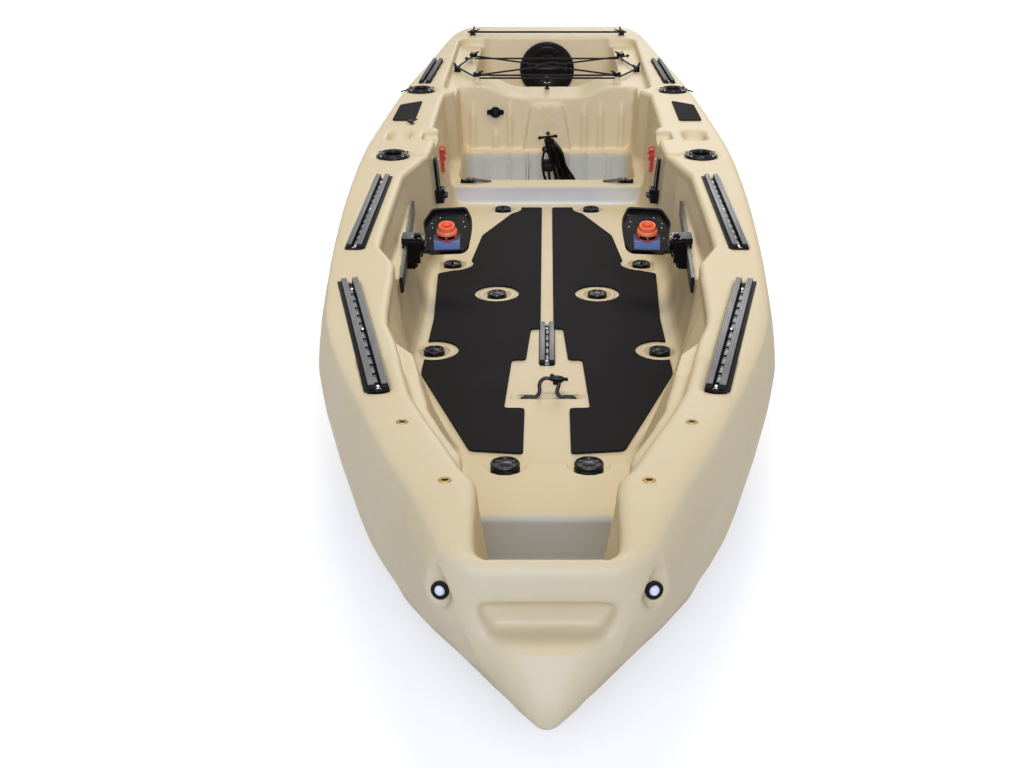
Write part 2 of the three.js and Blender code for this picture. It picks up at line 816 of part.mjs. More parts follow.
function deckCuts(sense) {
  const cuts = tracks.map(([, share, side, turn, length]) => {
    const spot = [sense * across(side), along(share), deckHeight];
    return placed(trackPocket(length), ...spot, 0, 0, sense * turn);
  });
  rods.forEach(([, share, side]) => {
    const recess = rod(rodFlangeDiameter + 2 * rodRecessMargin, rodSeat, deckHeight + overrun, 24);
    const bore = rod(rodTubeDiameter + 2 * touchGap, rodSeat - rodTubeDepth - touchGap, deckHeight, 16);
    cuts.push(placed(recess, sense * across(side), along(share), 0));
    cuts.push(placed(bore, sense * across(side), along(share), 0));
  });
  const grooveFrom = across(openingEdge(midRodShares[0])) - touchGap;
  const grooveTo = across(midRodShares[1]);
  const grooveRun = grooveTo - grooveFrom + rodGrooveWidth;
  const grooveX = (sense * (grooveFrom - rodGrooveWidth + grooveTo)) / 2;
  const groove = block(grooveRun, rodGrooveWidth, overrun, rodGrooveWidth * 0.4);
  cuts.push(placed(groove, grooveX, along(midRodShares[0]), rodSeat));
  const [pocketY, pocketX] = [along(pocketShares[0]), across(pocketShares[1])];
  const [pocketHalfY, pocketHalfX] = [pocketSizeShares[0] * hullLength, across(pocketSizeShares[1])];
  const corner = Math.min(pocketCorner, pocketHalfX * 0.9);
  const levels = [deckHeight - pocketDepth, deckHeight];
  const pocket = basin(pocketHalfX, pocketHalfY, corner, ...levels, pocketFillet, pocketFillet);
  cuts.push(placed(pocket, sense * pocketX, pocketY, 0));
  const [notchHalfY, notchHalfX] = [notchSizeShares[0] * hullLength, across(notchSizeShares[1])];
  const notch = block(2 * notchHalfX, 2 * notchHalfY, notchDepth + overrun, pocketFillet);
  cuts.push(placed(notch, sense * across(notchShares[1]), along(notchShares[0]), deckHeight - notchDepth));
  return cuts;
}

function scupperCuts(sense) {
  const bore = rod(plugStemDiameter + 2 * touchGap, -overrun, deckHeight / 2, 12);
  const dish = turned(
    [
      [0, plugSeat],
      [plugDishDiameter / 2 - plugDishDepth, plugSeat],
      [plugDishDiameter / 2, floorHeight],
      [plugDishDiameter / 2, floorHeight + plugDishDepth],
      [0, floorHeight + plugDishDepth],
    ],
    16,
  );
  const cuts = plugShares.flatMap(([, share, side]) =>
    [bore, dish].map((piece) => placed(piece, sense * across(side), along(share), 0)),
  );
  const bay = rod(2 * plugBayRadius, plugBayFloor, deckHeight / 2, 20);
  [bore, bay].forEach((piece) => {
    cuts.push(placed(piece, sense * across(bowPlugShares[1]), along(bowPlugShares[0]), 0));
  });
  return cuts;
}

// The brace slides on the rail, held by lips behind the rail's two edges
const clampInner = footRailHeight / 2 + slideGap;
const clampOuter = clampInner + clampWall;
const clampFace = footRailThickness / 2 + slideGap;
const railAngle = THREE.MathUtils.degToRad(railTurn);
const clampShift = clampPlaceShare * footRailLength;
const clampX = across(railShares[1]) + clampShift * Math.sin(railAngle);
const clampY = along(railShares[0]) + clampShift * Math.cos(railAngle);
const pedalX = clampX - pedalReach;
const pedalY = clampY + pedalLead;
const bossAcross = pedalOutlineShares[0][0] * pedalWidth + pedalBossSize / 2 - pedalWall / 2;
const bossX = pedalX + bossAcross;
const tilt = THREE.MathUtils.degToRad(pedalTilt);
const bossDown = pedalLength / 2 - pedalBossSize * 0.7;
const bossOut = pedalBossSize / 2;
const bossY = pedalY - bossDown * Math.cos(tilt) - bossOut * Math.sin(tilt);
const bossZ = pedalHeight - bossDown * Math.sin(tilt) + bossOut * Math.cos(tilt);

// The brace rail's land is a flat strip moulded on the cockpit wall
function railPlacing(geometry, sense) {
  const x = sense * across(railShares[1]);
  return placed(geometry, x, along(railShares[0]), footRailLevel, 0, 0, -sense * railTurn);
}

function railClearance(sense) {
  const inboard = clampFace + clampThickness;
  const outboard = clampFace + clampWall * 0.7 + slideGap;
  const height = 2 * (clampOuter + slideGap);
  const space = block(inboard + outboard, footRailLength + 2 * touchGap, height);
  const shift = (sense * (outboard - inboard)) / 2;
  return railPlacing(space.translate(shift, 0, -height / 2), sense);
}

function railLand(sense) {
  const length = footRailLength - 2 * railLandMargin;
  const land = block(railLandDepth, length, railLandHeight).translate(0, 0, -railLandHeight / 2);
  const shift = sense * (footRailThickness / 2 + touchGap + railLandDepth / 2);
  return railPlacing(land.translate(shift, 0, 0), sense);
}

const lightFrame = frameOn(sidePoint, lightShare, deckHeight * lightLevelShare, -1);
const seatRailFrame = frameOn(wallPoint, seatRailShare, deckHeight * seatRailLevelShare, 1);
const seatStrapFrame = frameOn(wallPoint, seatStrapShare, deckHeight * seatStrapLevelShare, 1);

// A scoop whose aft face carries the light and looks forward, and whose floor runs out to the bow
function lightPocket() {
  const turn = THREE.MathUtils.degToRad(lightTurn);
  const reach = lightBezelDiameter * 0.65;
  const foot = [-reach * Math.cos(turn), -lightDepth - reach * Math.sin(turn)];
  const mouth = [overrun * Math.cos(turn), overrun * Math.sin(turn) - lightDepth];
  const section = ([x, z], half) => {
    const corners = [[-half, z], [half, z], [half + lightPocketFlare, overrun], [-half, overrun]];
    return corners.map(([y, height]) => [x, y, height]);
  };
  const half = lightPocketWidth / 2;
  const tip = section([-lightPocketRun, -touchGap], lightPocketTip);
  return loft([tip, section(foot, half), section(mouth, half)]);
}

const lampFrame = lightFrame
  .clone()
  .multiply(new THREE.Matrix4().makeTranslation(0, 0, -lightDepth))
  .multiply(new THREE.Matrix4().makeRotationY(-THREE.MathUtils.degToRad(lightTurn)));

function seatLand(width, length, height, frame) {
  return onFrame(block(width, length, height + pocketFillet).translate(0, 0, -pocketFillet), frame);
}

// The flat seats of the hatch on the tankwell's aft wall and of the drain on the back wall
const tankwellSlope = Math.atan2(tankwellDraft, deckHeight - tankwellFloor);
const backWallSlope = Math.atan2(backWallLean, deckHeight - crossbeamHeight);

function wallSeat(y, height, slope, foot, x = 0) {
  const lift = (height - foot) * Math.tan(slope);
  const turn = new THREE.Matrix4().makeRotationX(Math.PI / 2 - slope);
  return turn.setPosition(x, y + lift, height);
}

const hatchWall = along(tankwellAftShare) - tankwellDraft;
const hatchSeat = wallSeat(hatchWall, tankwellFloor + hatchRise, tankwellSlope, tankwellFloor);
const drainPlace = [along(backWallShare), crossbeamHeight + drainRise, backWallSlope];
const drainSeat = wallSeat(...drainPlace, crossbeamHeight, -across(drainShare));

// Upright ribs on the back wall, and the block of ribs in its middle
function backRibs() {
  const wall = wallSeat(along(backWallShare), crossbeamHeight, backWallSlope, crossbeamHeight);
  const rib = (height) =>
    loft(
      [[0, 1, 1], [0.75, 0.8, 1], [1, 0.45, 0.2]].map(([rise, width, depth]) => {
        const half = (backRibWidth / 2) * width;
        const [crest, proud] = [half * 0.55, depth * backRibDepth];
        const profile = [[half, -overrun / 6], [crest, proud], [-crest, proud], [-half, -overrun / 6]];
        return profile.map(([x, z]) => [x, rise * height - overrun / 12, z]);
      }),
    );
  const ribs = backRibShares.flatMap((share) =>
    [1, -1]
      .filter((sense) => !(sense < 0 && Math.abs(share - drainShare) < backRibShares[0] / 10))
      .map((sense) => rib(backRibHeight).translate(sense * across(share), 0, 0)),
  );
  ribs.push(rib(backRibHeight * 0.45).translate(-across(drainShare), 0, 0));
  const outline = [
    [-ribBlockBottomHalf, -overrun / 12],
    [ribBlockBottomHalf, -overrun / 12],
    [ribBlockTopHalf, ribBlockHeight],
    [-ribBlockTopHalf, ribBlockHeight],
  ];
  const depth = ribBlockDepth + overrun / 6;
  const body = plate(softened(outline, ribBlockDepth), depth).translate(0, 0, -overrun / 6);
  const groove = block(ribGrooveWidth, ribBlockHeight, overrun);
  const grooves = [-1, 0, 1].map((i) =>
    groove.clone().translate(i * ribGroovePitch, ribBlockHeight / 2, ribBlockDepth * 0.7),
  );
  return [...ribs, cut(body, ...grooves)].map((piece) => onFrame(piece, wall));
}

function seatWellCuts() {
  const well = between(crossbeamAftShare, seatWellAftShare);
  const half = across(seatWellHalfShare);
  const shape = [seatWellCorner, seatWellFloor, crossbeamHeight, seatWellDraft, seatWellFillet];
  const cuts = [placed(basin(half, well.half, ...shape), 0, well.middle, 0)];
  const count = Math.floor((half - seatWellCorner) / wellRibPitch);
  for (let i = -count; i <= count; i += 1) {
    const groove = block(wellRibWidth, 2 * wellRibDepth + seatWellDraft, overrun * 3);
    const wall = well.middle + well.half - seatWellDraft / 2;
    cuts.push(placed(groove, i * wellRibPitch, wall, seatWellFloor + seatWellFillet));
  }
  return cuts;
}

function aftDeckCuts() {
  const surround = between(surroundFrontShare, surroundAftShare);
  const tank = between(tankwellFrontShare, tankwellAftShare);
  const hatchHole = rod(hatchBore, -hatchBoreDepth, overrun, hatchSides);
  const drainHole = rod(drainStemDiameter + 2 * touchGap, -drainStemLength - touchGap, overrun, 12);
  const floorSlot = block(floorSlotLength, floorSlotWidth, overrun, floorSlotWidth * 0.45);
  const surroundShape = [surroundCorner, surroundHeight, deckHeight, surroundFillet, surroundFoot];
  const tankShape = [tankwellCorner, tankwellFloor, deckHeight, tankwellDraft, tankwellFillet];
  return [
    placed(basin(across(surroundHalfShare), surround.half, ...surroundShape), 0, surround.middle, 0),
    placed(basin(across(tankwellHalfShare), tank.half, ...tankShape), 0, tank.middle, 0),
    saddle(),
    onFrame(hatchHole, hatchSeat),
    onFrame(drainHole, drainSeat),
    placed(floorSlot, 0, along(floorLoopShare), floorHeight - floorSlotDepth),
  ];
}

// The cargo cord runs round six guides and twice across the well
const at = ([share, side], sense, height) => new THREE.Vector3(sense * across(side), along(share), height);
const cordLevel = surroundHeight + cordRise;

function cargoRoute() {
  const aft = (sense, layer) => at(aftEyeShares, sense, cordLevel + layer * cordLayer);
  const front = (sense, layer) => at(frontEyeShares, sense, cordLevel + layer * cordLayer);
  const hook = (sense, layer) => at(sideHookShares, sense, cordLevel + layer * cordLayer);
  const knot = new THREE.Vector3(eyeDiameter, 0, 0);
  const reach = frontEyeShares[1] / (frontEyeShares[1] + aftEyeShares[1]);
  const crossing = front(-1, 1).lerp(aft(1, 1), reach);
  const step = aft(1, 1).sub(front(-1, 1)).normalize().multiplyScalar(eyeDiameter);
  const middle = (sense, rise) => {
    const lift = new THREE.Vector3(0, 0, rise * cordLayer);
    return crossing.clone().addScaledVector(step, sense * (2 - rise)).add(lift);
  };
  return bent(
    [
      aft(-1, 0).sub(knot), aft(1, 0), hook(1, 0), front(1, 0),
      front(-1, 0), hook(-1, 0.5), aft(-1, 1), front(1, 1), front(-1, 1),
      middle(-1, 0), middle(-1, 1), middle(1, 1), middle(1, 0), aft(1, 1).add(knot),
    ],
    cordBend,
  );
}

function sternRoute(beyond) {
  const height = deckHeight + sternCordRise;
  const reach = new THREE.Vector3(beyond, 0, 0);
  return [at(sternHookShares, -1, height).sub(reach), at(sternHookShares, 1, height).add(reach)];
}

// A cord guide stands on the deck and has the cord's own path cut through it
function eyePost(height) {
  const wide = eyeDiameter / 2;
  const waist = wide * 0.8;
  const profile = [[0, 0], [wide, 0], [waist, height * 0.3], [waist, height * 0.75]];
  profile.push([wide * 0.5, height], [0, height]);
  return turned(profile, 12);
}

function hookBody() {
  const foot = block(hookLength, hookWidth, hookHeight * 0.35, hookWidth * 0.3);
  const horn = block(hookLength * 0.5, hookWidth * 0.6, hookHeight, hookWidth * 0.2);
  return joined(foot, horn);
}

const cargoSpace = tube(cargoRoute(), cordDiameter + 2 * cordGap, 8);
const sternSpace = tube(sternRoute(overrun), sternCordDiameter + 2 * cordGap, 8);

function hullSolid() {
  const blank = loft(stationsOf(hullLineShares, 0, 1, longestStationShare).map(hullRing));
  let body = solidOf(blank);
  const take = (pieces) => pieces.forEach((piece) => (body = body.subtract(solidOf(piece))));
  const give = (pieces) => pieces.forEach((piece) => (body = body.add(solidOf(piece))));
  take([...cockpitCuts(), platformEdge(), noseStep()]);
  take([railClearance(1), railClearance(-1)]);
  give([railLand(1), railLand(-1), ...backRibs()]);
  const seatLands = [seatLand(seatLandWidth, seatRailHeight, seatLandHeight, seatRailFrame)];
  seatLands.push(seatLand(seatStrapWidth, seatStrapLength, 0, seatStrapFrame));
  seatLands.forEach((land) => give([land, mirrored(land)]));
  take([...seatWellCuts(), ...aftDeckCuts()]);
  take(sides.flatMap(([, sense]) => [...deckCuts(sense), ...scupperCuts(sense)]));
  const pocket = onFrame(lightPocket(), lightFrame);
  take([pocket, mirrored(pocket)]);
  const posts = [frontEyeShares, aftEyeShares].flatMap((place) =>
    sides.map(([, sense]) => {
      const spot = at(place, sense, surroundHeight - touchGap);
      return placed(eyePost(eyeHeight), spot.x, spot.y, spot.z);
    }),
  );
  give(posts);
  take([cargoSpace, placed(trackPocket(floorTrackLength), 0, along(floorTrackShares[0]), floorHeight)]);
  return geometryOf(body);
}

function trackBody(length) {
  const [half, slot, wide] = [trackWidth / 2, trackSlot / 2, trackSlotWide / 2];
  const profile = [
    [-half, -trackDepth], [half, -trackDepth], [half, 0],
    [slot, 0], [slot, -trackLip], [wide, -trackLip],
    [wide, trackFloor - trackDepth], [-wide, trackFloor - trackDepth],
    [-wide, -trackLip], [-slot, -trackLip], [-slot, 0], [-half, 0],
  ];
  return run(profile, length);
}

function rodHolder() {
  const [tubeR, bore, flange] = [rodTubeDiameter / 2, rodBore / 2, rodFlangeDiameter / 2];
  return turned(
    [
      [0, -rodTubeDepth],
      [tubeR, -rodTubeDepth],
      [tubeR, 0],
      [flange, 0],
      [flange, rodFlangeHeight * 0.55],
      [flange - rodFlangeHeight * 0.7, rodFlangeHeight],
      [bore + rodFlangeHeight * 0.3, rodFlangeHeight],
      [bore, rodFlangeHeight * 0.7],
      [bore, rodTubeFloor - rodTubeDepth],
      [0, rodTubeFloor - rodTubeDepth],
    ],
    16,
  );
}

// Plan outlines from shares, in millimetres about the hull's own centre
const planned = (shares) => shares.map(([share, side]) => [across(side), along(share)]);

function floorPad() {
  const pad = plate(softened(planned(floorPadShares), padCorner), padThickness);
  const clear = plugShares.map(([, share, side]) =>
    placed(rod(2 * scupperClearRadius, -overrun, overrun, 20), across(side), along(share), 0),
  );
  return placed(cut(pad, ...clear), 0, 0, floorHeight + touchGap);
}

function scupperPlug(capDiameter, capHeight) {
  const cap = capDiameter / 2;
  return turned(
    [
      [0, -plugStemLength],
      [plugStemTip / 2, -plugStemLength],
      [plugStemDiameter / 2, 0],
      [cap, 0],
      [cap, capHeight * 0.6],
      [cap * 0.8, capHeight],
      [cap * 0.45, capHeight],
      [cap * 0.4, capHeight * 0.8],
      [0, capHeight * 0.8],
    ],
    12,
  );
}

function lightBezel() {
  const hole = circle(lightLensDiameter / 2 + touchGap, 16);
  return plate(circle(lightBezelDiameter / 2, 16), lightBezelThickness, [hole]).translate(0, 0, touchGap);
}

function lightLens() {
  const r = lightLensDiameter / 2;
  const top = lightLensHeight;
  const lens = turned([[0, 0], [r, 0], [r, top * 0.5], [r * 0.8, top * 0.85], [r * 0.4, top], [0, top]], 16);
  return lens.translate(0, 0, touchGap);
}

function footRail() {
  const corners = [[-1, -1], [1, -1], [1, 1], [-1, 1]];
  const outline = corners.map(([x, y]) => [(x * footRailHeight) / 2, (y * footRailLength) / 2]);
  const count = Math.floor(footRailLength / footRailSlotPitch / 2 - 0.5);
  const holes = [];
  for (let i = -count; i <= count; i += 1) {
    const halfX = footRailSlotHeight / 2;
    const [near, far] = [-1, 1].map((end) => i * footRailSlotPitch + (end * footRailSlotLength) / 2);
    holes.push([[-halfX, near], [-halfX, far], [halfX, far], [halfX, near]]);
  }
  const rail = plate(outline, footRailThickness, holes);
  return rail.translate(0, 0, -footRailThickness / 2).rotateY(Math.PI / 2);
}

function footClamp() {
  const inboard = -clampFace - clampThickness;
  const behind = clampFace + clampWall * 0.7;
  const lip = clampInner - clampLip;
  const profile = [
    [inboard, -clampOuter], [behind, -clampOuter], [behind, -lip], [clampFace, -lip],
    [clampFace, -clampInner], [-clampFace, -clampInner], [-clampFace, clampInner], [clampFace, clampInner],
    [clampFace, lip], [behind, lip], [behind, clampOuter], [inboard, clampOuter],
  ];
  const body = placed(run(profile, clampLength), clampX, clampY, footRailLevel, 0, 0, -railTurn);
  const cap = block(clampCapWidth, clampCapLength, clampCapHeight, clampCapHeight * 0.4);
  const capX = clampX + inboard * 0.4;
  const capped = placed(cap, capX, clampY, footRailLevel + clampInner + touchGap);
  const armX = bossX + pedalBossSize / 2 + slideGap + armThickness / 2;
  const armFrom = clampY + clampLength * 0.3;
  const armTo = bossY + armWidth / 2;
  const arm = block(armThickness, armTo - armFrom, armWidth);
  const armed = placed(arm, armX, (armFrom + armTo) / 2, bossZ - armWidth / 2);
  const rootX = clampX + inboard * 0.5;
  const rootRise = footRailLevel - bossZ + armWidth / 2;
  const root = block(rootX - armX + armThickness, clampLength * 0.2, rootRise);
  const rootSpot = [(rootX + armX) / 2, clampY + clampLength * 0.4, bossZ - armWidth / 2];
  const rooted = placed(root, ...rootSpot);
  const pin = rod(armPinDiameter, 0, armPinLength).rotateY(-Math.PI / 2);
  const pinned = placed(pin, armX - armThickness * 0.4, bossY, bossZ);
  return joined(body, capped, armed, rooted, pinned);
}

// Fittings on the pedal share its tilted frame
const onPedal = (geometry) => placed(geometry, pedalX, pedalY, pedalHeight, pedalTilt);

function footPedal() {
  const outline = (inset) =>
    pedalOutlineShares.map(([x, y]) => [x * (pedalWidth - 2 * inset), y * (pedalLength - 2 * inset)]);
  const shell = plate(softened(outline(0), pedalChamfer * 0.3), pedalRim);
  const inner = plate(softened(outline(pedalWall), pedalChamfer * 0.3), pedalRim);
  const hollow = inner.translate(0, 0, pedalWall);
  const boss = block(pedalBossSize, pedalBossSize, pedalBossSize, pedalBossSize * 0.2);
  const bossed = boss.translate(bossAcross, -bossDown, bossOut - pedalBossSize / 2);
  const body = joined(cut(shell, hollow), bossed);
  const bore = rod(armPinDiameter + 2 * touchGap, -pedalBossSize, pedalBossSize).rotateY(Math.PI / 2);
  return onPedal(cut(body, bore.translate(bossAcross, -bossDown, bossOut)));
}

const lockTilt = THREE.MathUtils.degToRad(pedalTilt - lockLean);
const lockStart = lockFrontPlace + lockFront * Math.SQRT1_2;

function pedalLock() {
  const rise = lockFront * Math.SQRT1_2;
  const base = pedalWall + touchGap;
  const front = lockFrontPlace;
  const topLength = (rise - lockBack) / Math.sin(lockTilt);
  const profile = [
    [front, base],
    [front + rise + topLength * Math.cos(lockTilt) + lockBack, base],
    [front + rise + topLength * Math.cos(lockTilt), base + lockBack],
    [front + rise, base + rise],
  ];
  const wedge = plate(profile, lockWidth).translate(0, 0, -lockWidth / 2);
  return onPedal(wedge.rotateX(Math.PI / 2).rotateZ(Math.PI / 2));
}

function pedalKnob() {
  const [neck, wide] = [knobNeckDiameter / 2, knobDiameter / 2];
  const top = knobNeckHeight + knobHeight;
  const body = turned(
    [
      [0, 0], [neck, 0], [neck, knobNeckHeight], [wide, knobNeckHeight],
      [wide, top - knobHeight * 0.4], [wide * 0.82, top], [0, top],
    ],
    16,
  );
  const grip = block(knobDiameter * 0.6, knobGripWidth, knobGripDepth * 2);
  return cut(body, grip.translate(0, 0, top - knobGripDepth));
}

// The knob stands on the lock's sloping top
function onLock(geometry) {
  const y = lockStart + knobPlace * Math.cos(lockTilt);
  const z = pedalWall + 2 * touchGap + lockFront * Math.SQRT1_2 - knobPlace * Math.sin(lockTilt);
  return onPedal(placed(geometry, 0, y, z, -THREE.MathUtils.radToDeg(lockTilt)));
}

function seatRail() {
  const outline = roundedRing(seatRailWidth / 2, seatRailHeight / 2, seatRailWidth * 0.15, 2);
  const slot = roundedRing(seatRailSlot / 2, seatRailHeight * 0.38, seatRailSlot * 0.4, 2).toReversed();
  return plate(outline, seatRailThickness, [slot]).translate(0, 0, seatLandHeight + touchGap);
}

function seatSlider() {
  const inner = seatRailWidth / 2 + slideGap;
  const outer = inner + seatSliderWall;
  const [back, low] = [seatLandHeight + touchGap - slideGap, seatLandHeight * 0.3];
  const face = seatLandHeight + touchGap + seatRailThickness + slideGap;
  const lip = seatRailWidth / 2 - seatSliderWall * 0.5;
  const half = [[lip, back], [lip, low], [outer, low], [outer, face + seatSliderDepth]];
  const inside = [[-inner, back], [-inner, face], [inner, face], [inner, back]];
  const profile = [...half, ...half.toReversed().map(([x, z]) => [-x, z]), ...inside];
  return run(profile, seatSliderHeight).translate(0, (seatSliderHeight - seatRailHeight) / 2, 0);
}

// The round seats are widened by what a flat between two corners falls short of the circle
function hatchFrame() {
  const flat = Math.cos(Math.PI / hatchSides);
  const seat = hatchLidDiameter / 2 / flat + slideGap;
  const [outer, bore] = [hatchFrameDiameter / 2, hatchBore / 2];
  return turned(
    [
      [bore, touchGap], [outer, touchGap], [outer, hatchFrameThickness * 0.5],
      [outer - hatchFrameThickness * 0.5, hatchFrameThickness], [seat, hatchFrameThickness],
      [seat, hatchFrameThickness * 0.4], [bore, hatchFrameThickness * 0.4], [bore, touchGap],
    ],
    hatchSides,
  );
}

function hatchLid() {
  const flat = Math.cos(Math.PI / hatchSides);
  const [wide, plug] = [hatchLidDiameter / 2, (hatchBore / 2) * flat - slideGap];
  const base = hatchFrameThickness * 0.4 + touchGap;
  const top = hatchLidThickness;
  const lid = turned(
    [
      [0, -hatchPlugDepth], [plug, -hatchPlugDepth], [plug, base], [wide, base],
      [wide, top - hatchGripDepth * 0.5], [wide * 0.93, top], [wide * 0.62, top],
      [wide * 0.58, top - hatchGripDepth], [0, top - hatchGripDepth],
    ],
    hatchSides,
  );
  const bar = block(hatchGripLength, hatchGripWidth, hatchGripDepth * 1.2, hatchGripWidth * 0.3);
  return joined(lid, bar.translate(0, 0, top - hatchGripDepth * 1.1));
}

function drainPlug() {
  const flange = rod(drainDiameter, touchGap, touchGap + drainThickness, 16);
  const ears = block(drainDiameter + 2 * drainEar, drainEar * 1.6, drainThickness, drainEar * 0.6);
  const knob = rod(drainKnobDiameter, 0, drainThickness + drainKnobHeight, 12);
  const stem = rod(drainStemDiameter, -drainStemLength, drainThickness, 12);
  return joined(flange, ears.translate(0, 0, touchGap), knob.translate(0, 0, touchGap), stem);
}

function cordEnd(point) {
  const r = cordDiameter;
  const ball = turned([[0, -r], [r * 0.8, -r * 0.6], [r, 0], [r * 0.8, r * 0.6], [0, r]], 8);
  return placed(ball, point.x, point.y, point.z);
}

function cargoBungee() {
  const route = cargoRoute();
  return joined(tube(route, cordDiameter), cordEnd(route[0]), cordEnd(route.at(-1)));
}

function floorBungee() {
  const y = along(floorLoopShare);
  const low = floorHeight - floorSlotDepth + floorCordDiameter / 2 + touchGap;
  const foot = floorLoopHalf - floorLoopFoot;
  const half = [
    [floorLoopHalf, 0, 0],
    [foot, 0, 0],
    [foot * 0.85, floorLoopLean * 0.5, floorLoopRise * 0.6],
    [foot * 0.45, floorLoopLean, floorLoopRise],
  ];
  const points = [...half.map(([x, dy, dz]) => [-x, dy, dz]), ...half.toReversed()];
  const corners = points.map(([x, dy, dz]) => new THREE.Vector3(x, y + dy, low + dz));
  const route = bent(corners, floorCordDiameter, 2);
  const keeper = rod(keeperDiameter, -keeperLength / 2, keeperLength / 2).rotateY(Math.PI / 2);
  const stub = rod(keeperDiameter * 0.8, 0, keeperLength * 0.5);
  const spot = [foot * 0.2, y + floorLoopLean, low + floorLoopRise];
  return joined(tube(route, floorCordDiameter), placed(keeper, ...spot), placed(stub, ...spot));
}

// A bundle of wires standing in the seat well, gathered at its top
function cableHarness() {
  const [x, y] = [across(harnessShares[1]), along(harnessShares[0])];
  const low = seatWellFloor + touchGap + harnessDiameter * 0.287;
  const rows = [
    [1, 0, 0, 1], [0.8, 0.06, 0.12, 1.1], [0.45, 0.1, 0.5, 0.95],
    [0.12, 0.02, 0.85, 0.75], [0, 0, 1, 0.5],
  ];
  const spots = rows.map(([px, py, pz]) =>
    [x + px * harnessReach, y + py * harnessReach, low + pz * harnessHeight],
  );
  const upright = new THREE.Vector3(0, 0, 1);
  const rings = spots.map((spot, i) => {
    const before = new THREE.Vector3(...spots[Math.max(i - 1, 0)]);
    const after = new THREE.Vector3(...spots[Math.min(i + 1, spots.length - 1)]);
    const way = after.sub(before).normalize();
    const turn = new THREE.Quaternion().setFromUnitVectors(upright, way);
    return circle((harnessDiameter / 2) * rows[i][3], 8).map(([cx, cy]) =>
      new THREE.Vector3(cx, cy, 0).applyQuaternion(turn).add(new THREE.Vector3(...spot)).toArray(),
    );
  });
  const handle = rod(handleDiameter, -handleLength / 2, handleLength / 2, 8).rotateY(Math.PI / 2);
  const size = knobBallDiameter / 2;
  const ball = turned([[0, -1], [0.7, -0.7], [1, 0], [0.7, 0.7], [0, 1]], 10).scale(size, size, size);
  return joined(
    loft(rings),
    placed(handle, x, y, low + harnessHeight),
    placed(ball, x + harnessReach * 0.34, y - harnessDiameter * 0.1, low + harnessHeight * 0.3),
  );
}

function strapCleat() {
  const body = block(cleatLength, cleatWidth, cleatHeight, cleatWidth * 0.3);
  const gap = block(cleatLength * 0.4, cleatWidth + 2 * overrun, cleatHeight * 0.45);
  return cut(body, gap.translate(0, 0, cleatHeight * 0.25));
}

function latchKnob() {
  const [r, top] = [latchDiameter / 2, latchHeight];
  const profile = [[0, 0], [r * 1.3, 0], [r * 1.3, top * 0.2], [r * 0.7, top * 0.35]];
  profile.push([r, top * 0.6], [r * 0.8, top], [0, top]);
  return turned(profile, 12);
}

const group = new THREE.Group();

function add(name, geometry, colour, roughness = 0.6, metalness = 0) {
  const material = new THREE.MeshStandardMaterial({ color: colour, roughness, metalness });
  const mesh = new THREE.Mesh(geometry, material);
  mesh.name = name;
  group.add(mesh);
  return mesh;
}

// The same fitting on both sides of the hull, given as it stands to port
function addPair(name, geometry, colour, roughness, metalness) {
  add(`${name}_port`, geometry, colour, roughness, metalness);
  add(`${name}_starboard`, mirrored(geometry), colour, roughness, metalness);
}

add("hull", hullSolid(), bodyColour);

tracks.forEach(([name, share, side, turn, length]) => {
  const track = placed(trackBody(length), across(side), along(share), deckHeight, 0, 0, turn);
  addPair(`gear_track_${name}`, track, trackMetal, 0.4, 0.7);
});
const floorTrack = placed(trackBody(floorTrackLength), 0, along(floorTrackShares[0]), floorHeight);
add("gear_track_floor", floorTrack, trackMetal, 0.4, 0.7);

rods.forEach(([name, share, side]) => {
  const holder = placed(rodHolder(), across(side), along(share), rodSeat + touchGap);
  addPair(`rod_holder_${name}`, holder, blackPlastic);
});

addPair("floor_pad", floorPad(), padFoam, 0.95);
const sidePad = plate(softened(planned(sidePadShares), padCorner), sidePadThickness);
addPair("side_pad", placed(sidePad, 0, 0, deckHeight + touchGap), padFoam, 0.95);

plugShares.forEach(([name, share, side]) => {
  const plug = scupperPlug(plugCapDiameter, plugCapHeight);
  const spot = [across(side), along(share), plugSeat + touchGap];
  addPair(`scupper_plug_${name}`, placed(plug, ...spot), blackPlastic);
});
const bowPlug = scupperPlug(bowPlugCapDiameter, bowPlugCapHeight);
const bowPlugPlace = [across(bowPlugShares[1]), along(bowPlugShares[0]), plugBayFloor + touchGap];
addPair("scupper_plug_bow", placed(bowPlug, ...bowPlugPlace), blackPlastic);

addPair("light_bezel", onFrame(lightBezel(), lampFrame), blackPlastic, 0.35);
addPair("light_lens", onFrame(lightLens(), lampFrame), lensWhite, 0.15);

addPair("foot_rail", railPlacing(footRail(), 1), blackPlastic, 0.4);
addPair("foot_clamp", footClamp(), blackPlastic);
addPair("foot_pedal", footPedal(), blackPlastic);
addPair("pedal_lock", pedalLock(), lockBlue);
addPair("pedal_knob", onLock(pedalKnob()), knobOrange);

addPair("seat_rail", onFrame(seatRail(), seatRailFrame), blackPlastic, 0.4);
addPair("seat_slider", onFrame(seatSlider(), seatRailFrame), blackPlastic);
const strap = block(seatStrapWidth, seatStrapLength, seatStrapThickness).translate(0, 0, touchGap);
addPair("seat_strap", onFrame(strap, seatStrapFrame), strapRed, 0.85);

add("hatch_frame", onFrame(hatchFrame(), hatchSeat), blackPlastic);
add("hatch_lid", onFrame(hatchLid(), hatchSeat), blackPlastic);
add("drain_plug", onFrame(drainPlug(), drainSeat), blackPlastic);

